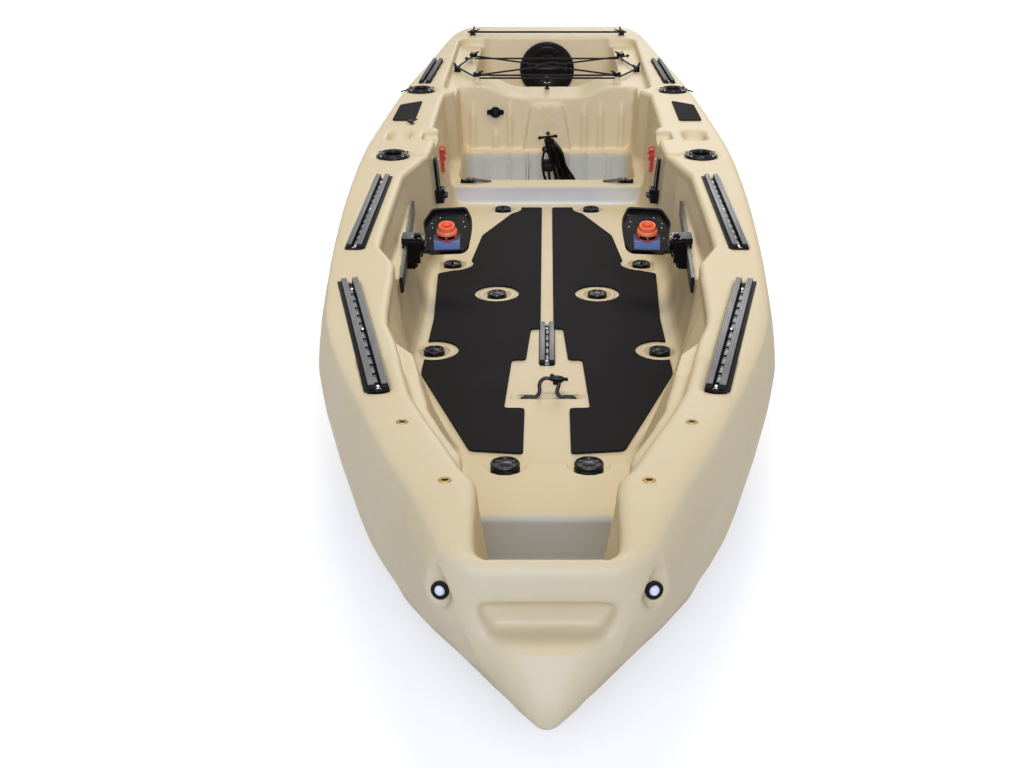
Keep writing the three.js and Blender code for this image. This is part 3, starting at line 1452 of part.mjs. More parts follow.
const sternPlace = at(sternHookShares, 1, deckHeight + touchGap);
const sternHook = cut(placed(hookBody(), sternPlace.x, sternPlace.y, sternPlace.z), sternSpace);
addPair("stern_hook", sternHook, blackPlastic);
add("stern_bungee", tube(sternRoute(hookLength * 0.7), sternCordDiameter), cordBlack, 0.85);
const portHook = at(sideHookShares, 1, surroundHeight + touchGap);
const portHookBody = placed(hookBody(), portHook.x, portHook.y, portHook.z);
add("cargo_hook_port", cut(portHookBody, cargoSpace), blackPlastic);
add("cargo_hook_starboard", cut(mirrored(portHookBody), cargoSpace), blackPlastic);
add("cargo_bungee", cargoBungee(), cordBlack, 0.85);

add("floor_bungee", floorBungee(), cordBlack, 0.85);
add("cable_harness", cableHarness(), cordBlack, 0.8);
const cleatPlace = at(cleatShares, 1, crossbeamHeight + touchGap);
addPair("strap_cleat", placed(strapCleat(), cleatPlace.x, cleatPlace.y, cleatPlace.z), blackPlastic);
const saddleHeight = surroundHeight - saddleDrop;
add("tankwell_latch", placed(latchKnob(), 0, along(latchShare), saddleHeight + touchGap), blackPlastic);

export default group;
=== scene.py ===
import math

import bmesh
import bpy
from mathutils import Matrix, Vector
from mathutils.bvhtree import BVHTree


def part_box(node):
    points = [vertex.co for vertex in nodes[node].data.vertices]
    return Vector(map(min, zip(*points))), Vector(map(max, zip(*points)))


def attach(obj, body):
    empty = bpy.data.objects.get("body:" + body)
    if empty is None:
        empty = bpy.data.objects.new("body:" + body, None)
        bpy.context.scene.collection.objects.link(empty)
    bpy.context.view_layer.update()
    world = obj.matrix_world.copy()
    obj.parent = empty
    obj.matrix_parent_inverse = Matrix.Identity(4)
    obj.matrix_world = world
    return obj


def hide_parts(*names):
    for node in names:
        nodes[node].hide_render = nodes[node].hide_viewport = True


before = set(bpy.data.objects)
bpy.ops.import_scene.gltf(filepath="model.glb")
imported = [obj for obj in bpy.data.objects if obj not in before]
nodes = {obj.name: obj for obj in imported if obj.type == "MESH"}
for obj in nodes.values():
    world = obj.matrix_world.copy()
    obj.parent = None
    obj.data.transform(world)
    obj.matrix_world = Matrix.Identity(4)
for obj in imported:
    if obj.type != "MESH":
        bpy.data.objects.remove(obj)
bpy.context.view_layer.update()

# Heights taken from the kayak's own drawing. All sizes are in metres, and port is the positive side
DECK = 0.4
SURROUND = 0.37
FLOOR = 0.12
CROSSBEAM = 0.176
SIDES = (("port", 1), ("starboard", -1))
UPRIGHT = Vector((0, 0, 1))


# Shader nodes

def set_inputs(node, **values):
    """Sets a shader node's inputs by name, with an underscore for each space."""
    for name, value in values.items():
        node.inputs[name.replace("_", " ")].default_value = value


def add_node(tree, kind, operation=None, **values):
    """A new shader node with its operation, if it has one, and its inputs set."""
    made = tree.nodes.new("ShaderNode" + kind)
    if operation:
        made.operation = operation
    set_inputs(made, **values)
    return made


# Camera and light

CAMERA_PLACE = (0.0, -3.14, 1.25)
CAMERA_TILT = 65
CAMERA_LENS = 45.7
CAMERA_SHIFT = -0.0342
SENSOR_WIDE = 36

# Name, place, what it is aimed at, width, watts and colour of each lamp
LAMPS = (
    ("key", (0.1, -0.2, 4.4), (0, 0.1, 0.3), 2.2, 78, (1.0, 0.91, 0.7)),
    ("front", (0.0, -9.0, 5.6), (0, -0.4, 0.2), 6.0, 740, (0.6, 0.71, 1.0)),
    ("left_fill", (-3.2, -1.0, 1.2), (0, -0.4, 0.25), 1.8, 9, (0.97, 0.98, 1.0)),
    ("right_fill", (3.2, -1.0, 1.2), (0, -0.4, 0.25), 1.8, 9, (0.97, 0.98, 1.0)),
    ("stern_light", (0.6, 5.4, 2.6), (0, 0.8, 0.3), 2.6, 40, (1.0, 0.99, 0.97)),
)
ROOM_COLOUR = (0.98, 0.99, 1.0, 1)
ROOM_LIGHT = 0.2
WHITE = (1, 1, 1, 1)

# The paper under the kayak: near it the shadow shows, far from it the paper is as white as the room
PAPER_HALF = 80
PAPER_DROP = 0.001
PAPER_COLOUR = (0.8, 0.8, 0.8, 1)
SHADOW_REACH = 1.5
WHITE_REACH = 6.0
NEAR_GLOW = 0.42
FAR_GLOW = 1.0


def set_camera():
    data = bpy.data.cameras.new("camera")
    camera = bpy.data.objects.new("camera", data)
    bpy.context.scene.collection.objects.link(camera)
    camera.location = CAMERA_PLACE
    camera.rotation_euler = (math.radians(CAMERA_TILT), 0.0, 0.0)
    data.sensor_width = SENSOR_WIDE
    data.lens = CAMERA_LENS
    data.shift_x = CAMERA_SHIFT
    bpy.context.scene.camera = camera


def area_light(name, place, target, size, power, colour):
    data = bpy.data.lights.new(name, "AREA")
    data.shape = "DISK"
    data.size = size
    data.energy = power
    data.color = colour
    lamp = bpy.data.objects.new(name, data)
    lamp.location = place
    aim = Vector(target) - Vector(place)
    lamp.rotation_euler = aim.to_track_quat("-Z", "Y").to_euler()
    bpy.context.scene.collection.objects.link(lamp)


def set_light():
    """Plain lamps, and a room that is dim for the kayak and white for the eye, mirrors and glass."""
    bpy.context.scene.view_settings.view_transform = "Standard"
    world = bpy.data.worlds.new("studio")
    bpy.context.scene.world = world
    world.use_nodes = True
    tree = world.node_tree
    tree.nodes.clear()
    seen = add_node(tree, "Background", Color=WHITE, Strength=1.0)
    room = add_node(tree, "Background", Color=ROOM_COLOUR, Strength=ROOM_LIGHT)
    rays = add_node(tree, "LightPath")
    mirror_or_eye = add_node(tree, "Math", "MAXIMUM")
    any_view = add_node(tree, "Math", "MAXIMUM")
    mix = add_node(tree, "MixShader")
    out = add_node(tree, "OutputWorld")
    link = tree.links.new
    link(rays.outputs["Is Camera Ray"], mirror_or_eye.inputs[0])
    link(rays.outputs["Is Glossy Ray"], mirror_or_eye.inputs[1])
    link(mirror_or_eye.outputs[0], any_view.inputs[0])
    link(rays.outputs["Is Transmission Ray"], any_view.inputs[1])
    link(any_view.outputs[0], mix.inputs[0])
    link(room.outputs[0], mix.inputs[1])
    link(seen.outputs[0], mix.inputs[2])
    link(mix.outputs[0], out.inputs["Surface"])
    for lamp in LAMPS:
        area_light(*lamp)


def set_floor():
    bm = bmesh.new()
    bmesh.ops.create_grid(bm, x_segments=1, y_segments=1, size=PAPER_HALF)
    mesh = bpy.data.meshes.new("studio_floor")
    bm.to_mesh(mesh)
    bm.free()
    floor = bpy.data.objects.new("studio_floor", mesh)
    floor.location.z = -PAPER_DROP
    bpy.context.scene.collection.objects.link(floor)
    material = bpy.data.materials.new("studio_paper")
    material.use_nodes = True
    tree = material.node_tree
    shader = tree.nodes["Principled BSDF"]
    set_inputs(shader, Base_Color=PAPER_COLOUR, Roughness=0.9, Specular_IOR_Level=0.1, Emission_Color=WHITE)
    rays = add_node(tree, "LightPath")
    place = add_node(tree, "TexCoord")
    distance = add_node(tree, "VectorMath", "LENGTH")
    glow = add_node(tree, "MapRange", From_Min=SHADOW_REACH, From_Max=WHITE_REACH)
    set_inputs(glow, To_Min=NEAR_GLOW, To_Max=FAR_GLOW)
    seen = add_node(tree, "Math", "MULTIPLY")
    tree.links.new(place.outputs["Object"], distance.inputs[0])
    tree.links.new(distance.outputs["Value"], glow.inputs["Value"])
    tree.links.new(rays.outputs["Is Camera Ray"], seen.inputs[0])
    tree.links.new(glow.outputs[0], seen.inputs[1])
    tree.links.new(seen.outputs[0], shader.inputs["Emission Strength"])
    mesh.materials.append(material)


# Materials

# Where the walls with a painted cool grey, standing for light from the front, begin and end. Each pair fades
# from none of it to all of it
FACING_BOW = (-0.2, -0.6)
PAINTED_LIGHT_TOP = (0.18, 0.155)
BOW_WELL_HALF = (0.15, 0.125)
SEAT_WELL_HALF = (0.295, 0.245)
COCKPIT_MIDDLE = (0.0, 0.1)
BOW_WALL = (-1.5, -1.45)
COCKPIT_CENTRE = -0.37
COCKPIT_FLOOR_HALF = (0.7, 0.75)
CROSSBEAM_FRONT = (0.2, 0.3)
CROSSBEAM_BACK = (0.8, 0.7)


class Surface:
    """A node material that is built up from noise on the object's own coordinates."""

    def __init__(self, name, colour, roughness, metallic=0.0):
        self.material = bpy.data.materials.new(name)
        self.material.use_nodes = True
        self.tree = self.material.node_tree
        self.shader = self.tree.nodes["Principled BSDF"]
        set_inputs(self.shader, Base_Color=(*colour, 1), Roughness=roughness, Metallic=metallic)
        self.place = add_node(self.tree, "TexCoord").outputs["Object"]
        self.height = None
        self.colour = None
        self.base = colour

    def link(self, a, b):
        self.tree.links.new(a, b)

    def noise(self, scale, detail=4.0, roughness=0.55, stretch=(1, 1, 1)):
        node = add_node(self.tree, "TexNoise", Scale=scale, Detail=detail, Roughness=roughness)
        place = self.place
        if stretch != (1, 1, 1):
            mapping = add_node(self.tree, "Mapping", Scale=stretch)
            self.link(place, mapping.inputs["Vector"])
            place = mapping.outputs[0]
        self.link(place, node.inputs["Vector"])
        return node.outputs["Fac"]

    def ramp(self, fac, low, high):
        """A value that runs from 0 where fac is low to 1 where it is high."""
        node = add_node(self.tree, "ValToRGB")
        for stop, place in zip(node.color_ramp.elements, (low, high)):
            stop.position = place
        self.link(fac, node.inputs[0])
        return node.outputs[0]

    def tint(self, fac, other):
        """Mixes another colour in where fac is high."""
        node = add_node(self.tree, "Mix")
        node.data_type = "RGBA"
        if self.colour is None:
            node.inputs["A"].default_value = (*self.base, 1)
        else:
            self.link(self.colour, node.inputs["A"])
        node.inputs["B"].default_value = (*other, 1)
        self.link(fac, node.inputs["Factor"])
        self.colour = node.outputs["Result"]
        self.link(self.colour, self.shader.inputs["Base Color"])

    def polish(self, fac, low, high):
        """Lets the roughness run from low to high with fac."""
        node = add_node(self.tree, "MapRange", To_Min=low, To_Max=high)
        self.link(fac, node.inputs["Value"])
        self.link(node.outputs[0], self.shader.inputs["Roughness"])

    def relief(self, fac, distance, strength=1.0):
        """Raises the surface by up to distance where fac is high."""
        node = add_node(self.tree, "Bump", Distance=distance, Strength=strength)
        self.link(fac, node.inputs["Height"])
        if self.height is not None:
            self.link(self.height, node.inputs["Normal"])
        self.height = node.outputs[0]
        self.link(self.height, self.shader.inputs["Normal"])


def linear(red, green, blue):
    """A colour as it is seen, each part from 0 to 255, as the light values that the shader takes."""
    seen = (part / 255 for part in (red, green, blue))
    return tuple(part / 12.92 if part < 0.0405 else ((part + 0.055) / 1.055) ** 2.4 for part in seen)


def step(made, value, low, high):
    """A value that runs from 0 at low to 1 at high."""
    node = add_node(made.tree, "MapRange", From_Min=low, From_Max=high)
    made.link(value, node.inputs["Value"])
    return node.outputs[0]


def both(made, first, second, operation="MULTIPLY"):
    """Two values from 0 to 1 joined into one: their product, unless another operation is named."""
    node = add_node(made.tree, "Math", operation)
    made.link(first, node.inputs[0])
    made.link(second, node.inputs[1])
    return node.outputs[0]


def size_of(made, value, shift=0.0):
    """A value with shift added to it, without its sign."""
    moved = add_node(made.tree, "Math")
    made.link(value, moved.inputs[0])
    moved.inputs[1].default_value = shift
    node = add_node(made.tree, "Math", "ABSOLUTE")
    made.link(moved.outputs[0], node.inputs[0])
    return node.outputs[0]


def split(made, vector):
    """The three parts of a vector."""
    node = add_node(made.tree, "SeparateXYZ")
    made.link(vector, node.inputs[0])
    return [node.outputs[axis] for axis in "XYZ"]


def painted_front_light(made):
    """Where the low walls of the wells face the bow. There a cool grey is painted in, standing for the light
    from the front.
    """
    across, astern, height = split(made, made.place)
    normal = split(made, add_node(made.tree, "TexCoord").outputs["Normal"])
    facing = step(made, normal[1], *FACING_BOW)
    low = step(made, height, *PAINTED_LIGHT_TOP)
    half_wide = size_of(made, across)
    bow_well = step(made, half_wide, *BOW_WELL_HALF)
    seat_well = both(made, step(made, half_wide, *SEAT_WELL_HALF), step(made, astern, *COCKPIT_MIDDLE))
    inboard = both(made, bow_well, seat_well, "MAXIMUM")
    behind_bow = step(made, astern, *BOW_WALL)
    off_the_floor = step(made, size_of(made, astern, -COCKPIT_CENTRE), *COCKPIT_FLOOR_HALF)
    walls = both(made, both(made, facing, low), both(made, inboard, behind_bow))
    return both(made, walls, off_the_floor)


def crossbeam_painted_light(made, walls):
    """The part of that painted front light that lies on the crossbeam's front, where a lighter grey is
    painted.
    """
    astern = split(made, made.place)[1]
    front = step(made, astern, *CROSSBEAM_FRONT)
    back = step(made, astern, *CROSSBEAM_BACK)
    return both(made, walls, both(made, front, back))


def hull_plastic():
    made = Surface("moulded_hull", linear(221, 203, 165), 0.45)
    made.tint(made.ramp(made.noise(1.6, 3.0), 0.35, 0.75), linear(215, 195, 154))
    made.tint(made.ramp(made.noise(38, 6.0, 0.7), 0.62, 0.8), linear(226, 212, 181))
    made.tint(made.ramp(made.noise(210, 2.0), 0.7, 0.82), linear(204, 183, 143))
    # Painted light: the cool grey of light from the front on the walls that face the bow, lighter grey on the
    # crossbeam
    walls = painted_front_light(made)
    made.tint(walls, linear(190, 191, 181))
    made.tint(crossbeam_painted_light(made, walls), linear(212, 211, 206))
    made.polish(made.noise(9, 5.0), 0.38, 0.52)
    made.relief(made.noise(260, 3.0), 0.0006, 0.35)
    made.relief(made.noise(26, 2.0), 0.0012, 0.18)
    set_inputs(made.shader, Specular_IOR_Level=0.38, Subsurface_Weight=0.04)
    set_inputs(made.shader, Subsurface_Radius=(0.02, 0.014, 0.008))
    return made.material


def black_moulding(name="black_moulding", tone=11, roughness=0.42, gloss=0.18):
    made = Surface(name, linear(tone, tone, tone + 1), roughness)
    set_inputs(made.shader, Specular_IOR_Level=gloss)
    made.tint(made.ramp(made.noise(60, 5.0), 0.45, 0.8), linear(tone + 9, tone + 9, tone + 10))
    made.polish(made.noise(45, 4.0), roughness - 0.08, roughness + 0.1)
    made.relief(made.noise(900, 2.0), 0.0002, 0.5)
    return made.material


def pad_foam():
    made = Surface("pad_foam", linear(31, 29, 30), 0.92)
    set_inputs(made.shader, Specular_IOR_Level=0.12)
    made.tint(made.ramp(made.noise(1400, 2.0), 0.5, 0.72), linear(43, 41, 42))
    made.tint(made.ramp(made.noise(6, 4.0), 0.5, 0.85), linear(37, 35, 36))
    made.relief(made.noise(700, 4.0), 0.0006, 0.8)
    return made.material


def anodised(name, tone, roughness=0.38):
    made = Surface(name, linear(tone, tone, tone + 3), roughness, 0.75)
    grain = made.noise(240, 4.0, stretch=(1, 0.04, 1))
    made.tint(made.ramp(grain, 0.4, 0.8), linear(tone + 18, tone + 18, tone + 20))
    made.polish(made.noise(160, 4.0, stretch=(1, 0.05, 1)), roughness - 0.08, roughness + 0.14)
    made.relief(made.noise(900, 2.0, stretch=(1, 0.03, 1)), 0.0002, 0.4)
    return made.material


def bright_metal(name, colour, roughness=0.25):
    made = Surface(name, colour, roughness, 1.0)
    made.polish(made.noise(300, 4.0), roughness - 0.05, roughness + 0.15)
    made.relief(made.noise(600, 3.0), 0.0001, 0.4)
    return made.material


def coloured_moulding(name, colour, dark):
    made = Surface(name, colour, 0.4)
    made.tint(made.ramp(made.noise(90, 5.0), 0.5, 0.85), dark)
    made.polish(made.noise(70, 4.0), 0.32, 0.5)
    made.relief(made.noise(800, 2.0), 0.0002, 0.4)
    return made.material


def braid():
    made = Surface("cord_braid", linear(13, 12, 12), 0.7)
    set_inputs(made.shader, Specular_IOR_Level=0.2, Sheen_Weight=0.1)
    wave = add_node(made.tree, "TexWave", Scale=180, Distortion=4, Detail=2)
    made.link(made.place, wave.inputs["Vector"])
    made.tint(made.ramp(wave.outputs["Fac"], 0.4, 0.9), linear(34, 32, 32))
    made.relief(wave.outputs["Fac"], 0.0005, 0.6)
    return made.material


def webbing(colour, dark, name="strap_webbing"):
    made = Surface(name, colour, 0.75)
    wave = add_node(made.tree, "TexWave", Scale=260)
    wave.bands_direction = "Z"
    made.link(made.place, wave.inputs["Vector"])
    made.tint(made.ramp(wave.outputs["Fac"], 0.3, 0.8), dark)
    made.relief(wave.outputs["Fac"], 0.0005, 0.7)
    set_inputs(made.shader, Sheen_Weight=0.25)
    return made.material


def lens_plastic():
    made = Surface("lamp_lens", linear(236, 238, 242), 0.12)
    made.tint(made.ramp(made.noise(160, 2.0), 0.4, 0.7), linear(214, 218, 226))
    set_inputs(made.shader, Coat_Weight=0.8, Coat_Roughness=0.05)
    made.relief(made.noise(220, 1.0), 0.0003, 0.3)
    return made.material


HULL = hull_plastic()
BLACK = black_moulding()
SHADE = black_moulding("dark_moulding", 8, 0.6, 0.12)
FOAM = pad_foam()
TRACK = anodised("gear_track_metal", 104)
AFT_TRACK = anodised("aft_track_metal", 58, 0.46)
RAIL = black_moulding("brace_rail_metal", 20, 0.36, 0.35)
STEEL = bright_metal("screw_steel", linear(200, 200, 198))
BRASS = bright_metal("insert_brass", linear(158, 128, 76), 0.4)
BLUE = coloured_moulding("lock_moulding", linear(126, 142, 186), linear(108, 124, 172))
ORANGE = coloured_moulding("knob_moulding", linear(255, 122, 76), linear(242, 102, 58))
RED = webbing(linear(244, 74, 54), linear(214, 44, 34))
CORD = braid()
LENS = lens_plastic()
MARK = coloured_moulding("pale_mark", linear(214, 214, 210), linear(190, 190, 188))
GLOSS = black_moulding("glossy_black", 8, 0.22, 0.2)
STRIP = anodised("slotted_strip", 128, 0.35)
CAP = anodised("brace_cap_metal", 74, 0.5)
TOPPING = coloured_moulding("lock_top", linear(74, 68, 86), linear(58, 54, 72))
WASHER = coloured_moulding("knob_washer", linear(214, 92, 92), linear(188, 70, 76))
# Darker orange for the floor of the knob's recess: painted shade
HOLLOW_SHADE_ORANGE = coloured_moulding("knob_recess_shade", linear(196, 62, 34), linear(160, 44, 28))
GROMMET = coloured_moulding("loop_grommet", linear(214, 196, 160), linear(196, 176, 140))
TAPE = webbing(linear(24, 24, 25), linear(44, 43, 44), "crossbeam_webbing")

FINISHES = {
    "gear_track": TRACK, "rod_holder": BLACK, "floor_pad": FOAM, "side_pad": FOAM, "scupper_plug": BLACK,
    "light_bezel": BLACK, "light_lens": LENS, "foot_rail": RAIL, "foot_clamp": BLACK, "foot_pedal": SHADE,
    "pedal_lock": BLUE, "pedal_knob": ORANGE, "seat_rail": RAIL, "seat_slider": BLACK, "seat_strap": RED,
    "hatch": BLACK, "drain_plug": BLACK, "stern_hook": BLACK, "cargo_hook": BLACK, "stern_bungee": CORD,
    "cargo_bungee": CORD, "floor_bungee": CORD, "cable_harness": SHADE, "strap_cleat": BLACK,
    "tankwell_latch": BLACK, "hull": HULL,
}


def finish_cad_nodes():
    for name, node in nodes.items():
        finish = next(made for start, made in FINISHES.items() if name.startswith(start))
        node.data.materials.clear()
        node.data.materials.append(finish)


# Modelling helpers

CREASE = math.radians(35)
FLAT = math.radians(1)
TOUCH = 0.00001

# A screw head's two heights and the width of its dome's top, as shares of its radius
HEAD_TALL, DOME_TALL, DOME_TOP = 0.35, 0.3, 0.55
HEAD_SIDES = 16


def cad_copy(name):
    """The form of a CAD node with its loose triangles merged. The node's own mesh is left as it is."""
    bm = bmesh.new()
    bm.from_mesh(nodes[name].data)
    bmesh.ops.remove_doubles(bm, verts=bm.verts, dist=TOUCH)
    return bm


def finished_mesh(made):
    """An object's mesh as its modifiers leave it."""
    bpy.context.view_layer.update()
    return bpy.data.meshes.new_from_object(made.evaluated_get(bpy.context.evaluated_depsgraph_get()))


def turn_to(axis):
    """The turn that brings the upright onto an axis."""
    return UPRIGHT.rotation_difference(Vector(axis).normalized()).to_matrix()


def about(axis, angle):
    """A turn by an angle in degrees about one of the main axes."""
    return Matrix.Rotation(math.radians(angle), 3, axis)


def around(count, radius, height, first=0.0):
    """Places spread evenly on a circle, from the angle first in degrees."""
    angles = [math.radians(first + number * 360 / count) for number in range(count)]
    return [(radius * math.cos(angle), radius * math.sin(angle), height) for angle in angles]


def box_ends(name):
    """The low and the high corner of a CAD node's box."""
    return [Vector(end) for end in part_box(name)]


def piece(name, bm, material, body="hull", bevel=0.0):
    """Turns a bmesh into a piece of the kayak that rides on a body."""
    bmesh.ops.recalc_face_normals(bm, faces=bm.faces)
    mesh = bpy.data.meshes.new(name)
    bm.to_mesh(mesh)
    bm.free()
    made = bpy.data.objects.new(name, mesh)
    bpy.context.scene.collection.objects.link(made)
    mesh.materials.append(material)
    mesh.shade_smooth()
    mesh.set_sharp_from_angle(angle=CREASE)
    if bevel:
        edge = made.modifiers.new("edges", "BEVEL")
        edge.width = bevel
        edge.segments = 2
        edge.limit_method = "ANGLE"
        edge.angle_limit = CREASE
    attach(made, body)
    return made


def rounded_copy(name, material, bevel, body="hull", ending="_moulding"):
    """A piece with the form of a CAD solid, but with rounded edges, that takes the solid's place."""
    bm = cad_copy(name)
    bmesh.ops.dissolve_limit(bm, angle_limit=FLAT, verts=bm.verts, edges=bm.edges)
    made = piece(name + ending, bm, material, body, bevel)
    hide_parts(name)


def drum(bm, radius, depth, place, axis=UPRIGHT, sides=24, top=None):
    """Adds a drum or cone that stands on place along axis."""
    made = bmesh.ops.create_cone(
        bm, cap_ends=True, segments=sides, radius1=radius, radius2=radius if top is None else top, depth=depth
    )["verts"]
    bmesh.ops.translate(bm, verts=made, vec=(0, 0, depth / 2))
    bmesh.ops.rotate(bm, verts=made, matrix=turn_to(axis))
    bmesh.ops.translate(bm, verts=made, vec=place)


def box(bm, size, place, turn=None, round_by=0.0):
    """Adds a block centred on place, with its edges rounded."""
    made = bmesh.ops.create_cube(bm, size=1.0)["verts"]
    bmesh.ops.scale(bm, verts=made, vec=size)
    if round_by:
        edges = {edge for vert in made for edge in vert.link_edges}
        grown = bmesh.ops.bevel(
            bm, geom=list(edges), offset=round_by, segments=2, profile=0.5, affect="EDGES", material=-1
        )
        kept = {vert for vert in made if vert.is_valid}
        made = list({vert for face in grown["faces"] for vert in face.verts} | kept)
    if turn is not None:
        bmesh.ops.rotate(bm, verts=made, matrix=turn)
    bmesh.ops.translate(bm, verts=made, vec=place)


def ring(bm, radius, thickness, place, axis=UPRIGHT, sides=32, around_bar=8):
    """Adds a round ring by spinning a small circle."""
    made = bmesh.ops.create_circle(bm, segments=around_bar, radius=thickness)["verts"]
    bmesh.ops.rotate(bm, verts=made, matrix=about("X", 90))
    bmesh.ops.translate(bm, verts=made, vec=(radius, 0, 0))
    edges = list({edge for vert in made for edge in vert.link_edges})
    before = set(bm.verts)
    bmesh.ops.spin(
        bm, geom=made + edges, cent=(0, 0, 0), axis=UPRIGHT, angle=math.radians(360), steps=sides,
        use_merge=True,
    )
    made = [v for v in bm.verts if v not in before] + [v for v in made if v.is_valid]
    bmesh.ops.rotate(bm, verts=made, matrix=turn_to(axis))
    bmesh.ops.translate(bm, verts=made, vec=place)


def turned(bm, profile, place=(0, 0, 0), axis=UPRIGHT, steps=48, angle=360, start=0):
    """Turns an outline of radius and height about an axis, all the way round or by an angle from start."""
    made = [bm.verts.new((radius, 0, height)) for radius, height in profile]
    edges = [bm.edges.new(pair) for pair in zip(made, made[1:])]
    full = angle >= 360
    if not full:
        edges.append(bm.edges.new((made[-1], made[0])))
    before = set(bm.verts) - set(made)
    bmesh.ops.rotate(bm, verts=made, matrix=about("Z", start))
    bmesh.ops.spin(
        bm, geom=made + edges, cent=(0, 0, 0), axis=UPRIGHT, angle=math.radians(angle), steps=steps,
        use_merge=full,
    )
    grown = [v for v in bm.verts if v not in before]
    if full:
        bmesh.ops.remove_doubles(bm, verts=grown, dist=TOUCH / 2)
    else:
        loose = [e for v in grown for e in v.link_edges if e.is_boundary]
        bmesh.ops.holes_fill(bm, edges=list(set(loose)), sides=len(profile))
    grown = [v for v in bm.verts if v not in before]
    bmesh.ops.rotate(bm, verts=grown, matrix=turn_to(axis))
    bmesh.ops.translate(bm, verts=grown, vec=place)


def bar(bm, start, end, radius, sides=12, tip=None):
    """A round bar from one place to another."""
    start, end = Vector(start), Vector(end)
    drum(bm, radius, (end - start).length, start, end - start, sides, tip)


def screw(bm, radius, place, axis=UPRIGHT):
    """A round screw head: a low drum with a domed top."""
    axis = Vector(axis).normalized()
    rim = Vector(place) + axis * radius * HEAD_TALL
    drum(bm, radius, radius * HEAD_TALL, place, axis, HEAD_SIDES)
    drum(bm, radius, radius * DOME_TALL, rim, axis, HEAD_SIDES, radius * DOME_TOP)


def flat_band(bm, sections):
    """A flat strap through sections of four corners each."""
    before = None
    for section in sections:
        corners = [bm.verts.new(place) for place in section]
        edges = [bm.edges.new((corners[i], corners[(i + 1) % 4])) for i in range(4)]
        if before is None:
            bm.faces.new(corners)
        else:
            bmesh.ops.bridge_loops(bm, edges=before + edges)
        before = edges
    bm.faces.new(corners)


def cable(name, routes, radius, material):
    """Round cables along smooth routes, made into one mesh."""
    curve = bpy.data.curves.new(name, "CURVE")
    curve.dimensions = "3D"
    curve.bevel_depth = radius
    curve.bevel_resolution = 2
    curve.use_fill_caps = True
    curve.resolution_u = 6
    for route in routes:
        line = curve.splines.new("BEZIER")
        line.bezier_points.add(len(route) - 1)
        for knot, place in zip(line.bezier_points, route):
            knot.co = place
            knot.handle_left_type = knot.handle_right_type = "AUTO"
    drawn = bpy.data.objects.new(name + "_line", curve)
    bpy.context.scene.collection.objects.link(drawn)
    mesh = finished_mesh(drawn)
    bpy.data.objects.remove(drawn)
    bm = bmesh.new()
    bm.from_mesh(mesh)
    bpy.data.meshes.remove(mesh)
    return piece(name, bm, material)


def settle(bm, place=(0, 0, 0), turn=0.0, side=1):
    """Turns a part that was drawn on its own about the upright, sets it down, and mirrors it to starboard."""
    bmesh.ops.rotate(bm, verts=bm.verts, matrix=about("Z", turn))
    bmesh.ops.translate(bm, verts=bm.verts, vec=place)
    if side < 0:
        bmesh.ops.scale(bm, verts=bm.verts, vec=(-1, 1, 1))


def of_pair(name, word, side, bm, material, body="hull", bevel=0.0):
    """A piece that was drawn for port, on its own side."""
    settle(bm, side=side)
    return piece("%s_%s" % (name, word), bm, material, body, bevel)


# The hull: the CAD form with its edges softened as a rotational moulding has them

VOXEL = 0.0044
SMOOTHING = 0.5
ROUNDS_ALL_OVER = 3
ROUNDS_SOFT = 32
KEPT_SHARE = 0.2

# Limits of the soft places, and the bow lamp's seat, which stays crisp
SLICE = 0.04
LAMP_SEAT = (0.133, -1.786, 0.336)
LAMP_REACH = 0.04
BOW_END, BOW_LOW = -1.22, 0.19
SIDE_TOP, SIDE_WIDE = 0.376, 0.1
CORNER_X, CORNER_Y, CORNER_LOW = (0.25, 0.34), (0.9, 1.02), 0.3

# The ribs of the seat well's back wall
WELL_RIBS = (-0.196, -0.12, -0.056, 0.056, 0.12, 0.196)
WELL_RIB_HALF = 0.0065
WELL_RIB_FOOT, WELL_RIB_HEAD = 0.08, 0.16
WELL_RIB_LOOK = 0.7
WELL_RIB_SUNK = Vector((0, 0.0012, 0))
WELL_RIB_RADIUS = 0.0034


def soft_places(mesh):
    """The vertices of the bow, the outer sides and two deck corners, where the moulding is rounded most."""
    half_beam = {}
    for vert in mesh.vertices:
        key = int(vert.co.y // SLICE)
        half_beam[key] = max(half_beam.get(key, 0.0), abs(vert.co.x))
    chosen = []
    for vert in mesh.vertices:
        x, y, z = abs(vert.co.x), vert.co.y, vert.co.z
        near_lamp = math.dist((x, y, z), LAMP_SEAT) < LAMP_REACH
        bow = y < BOW_END and z > BOW_LOW and not near_lamp
        side = z < SIDE_TOP and x > half_beam[int(y // SLICE)] - SIDE_WIDE and not near_lamp
        corner = CORNER_X[0] < x < CORNER_X[1] and CORNER_Y[0] < y < CORNER_Y[1] and z > CORNER_LOW
        if bow or side or corner:
            chosen.append(vert.index)
    return chosen


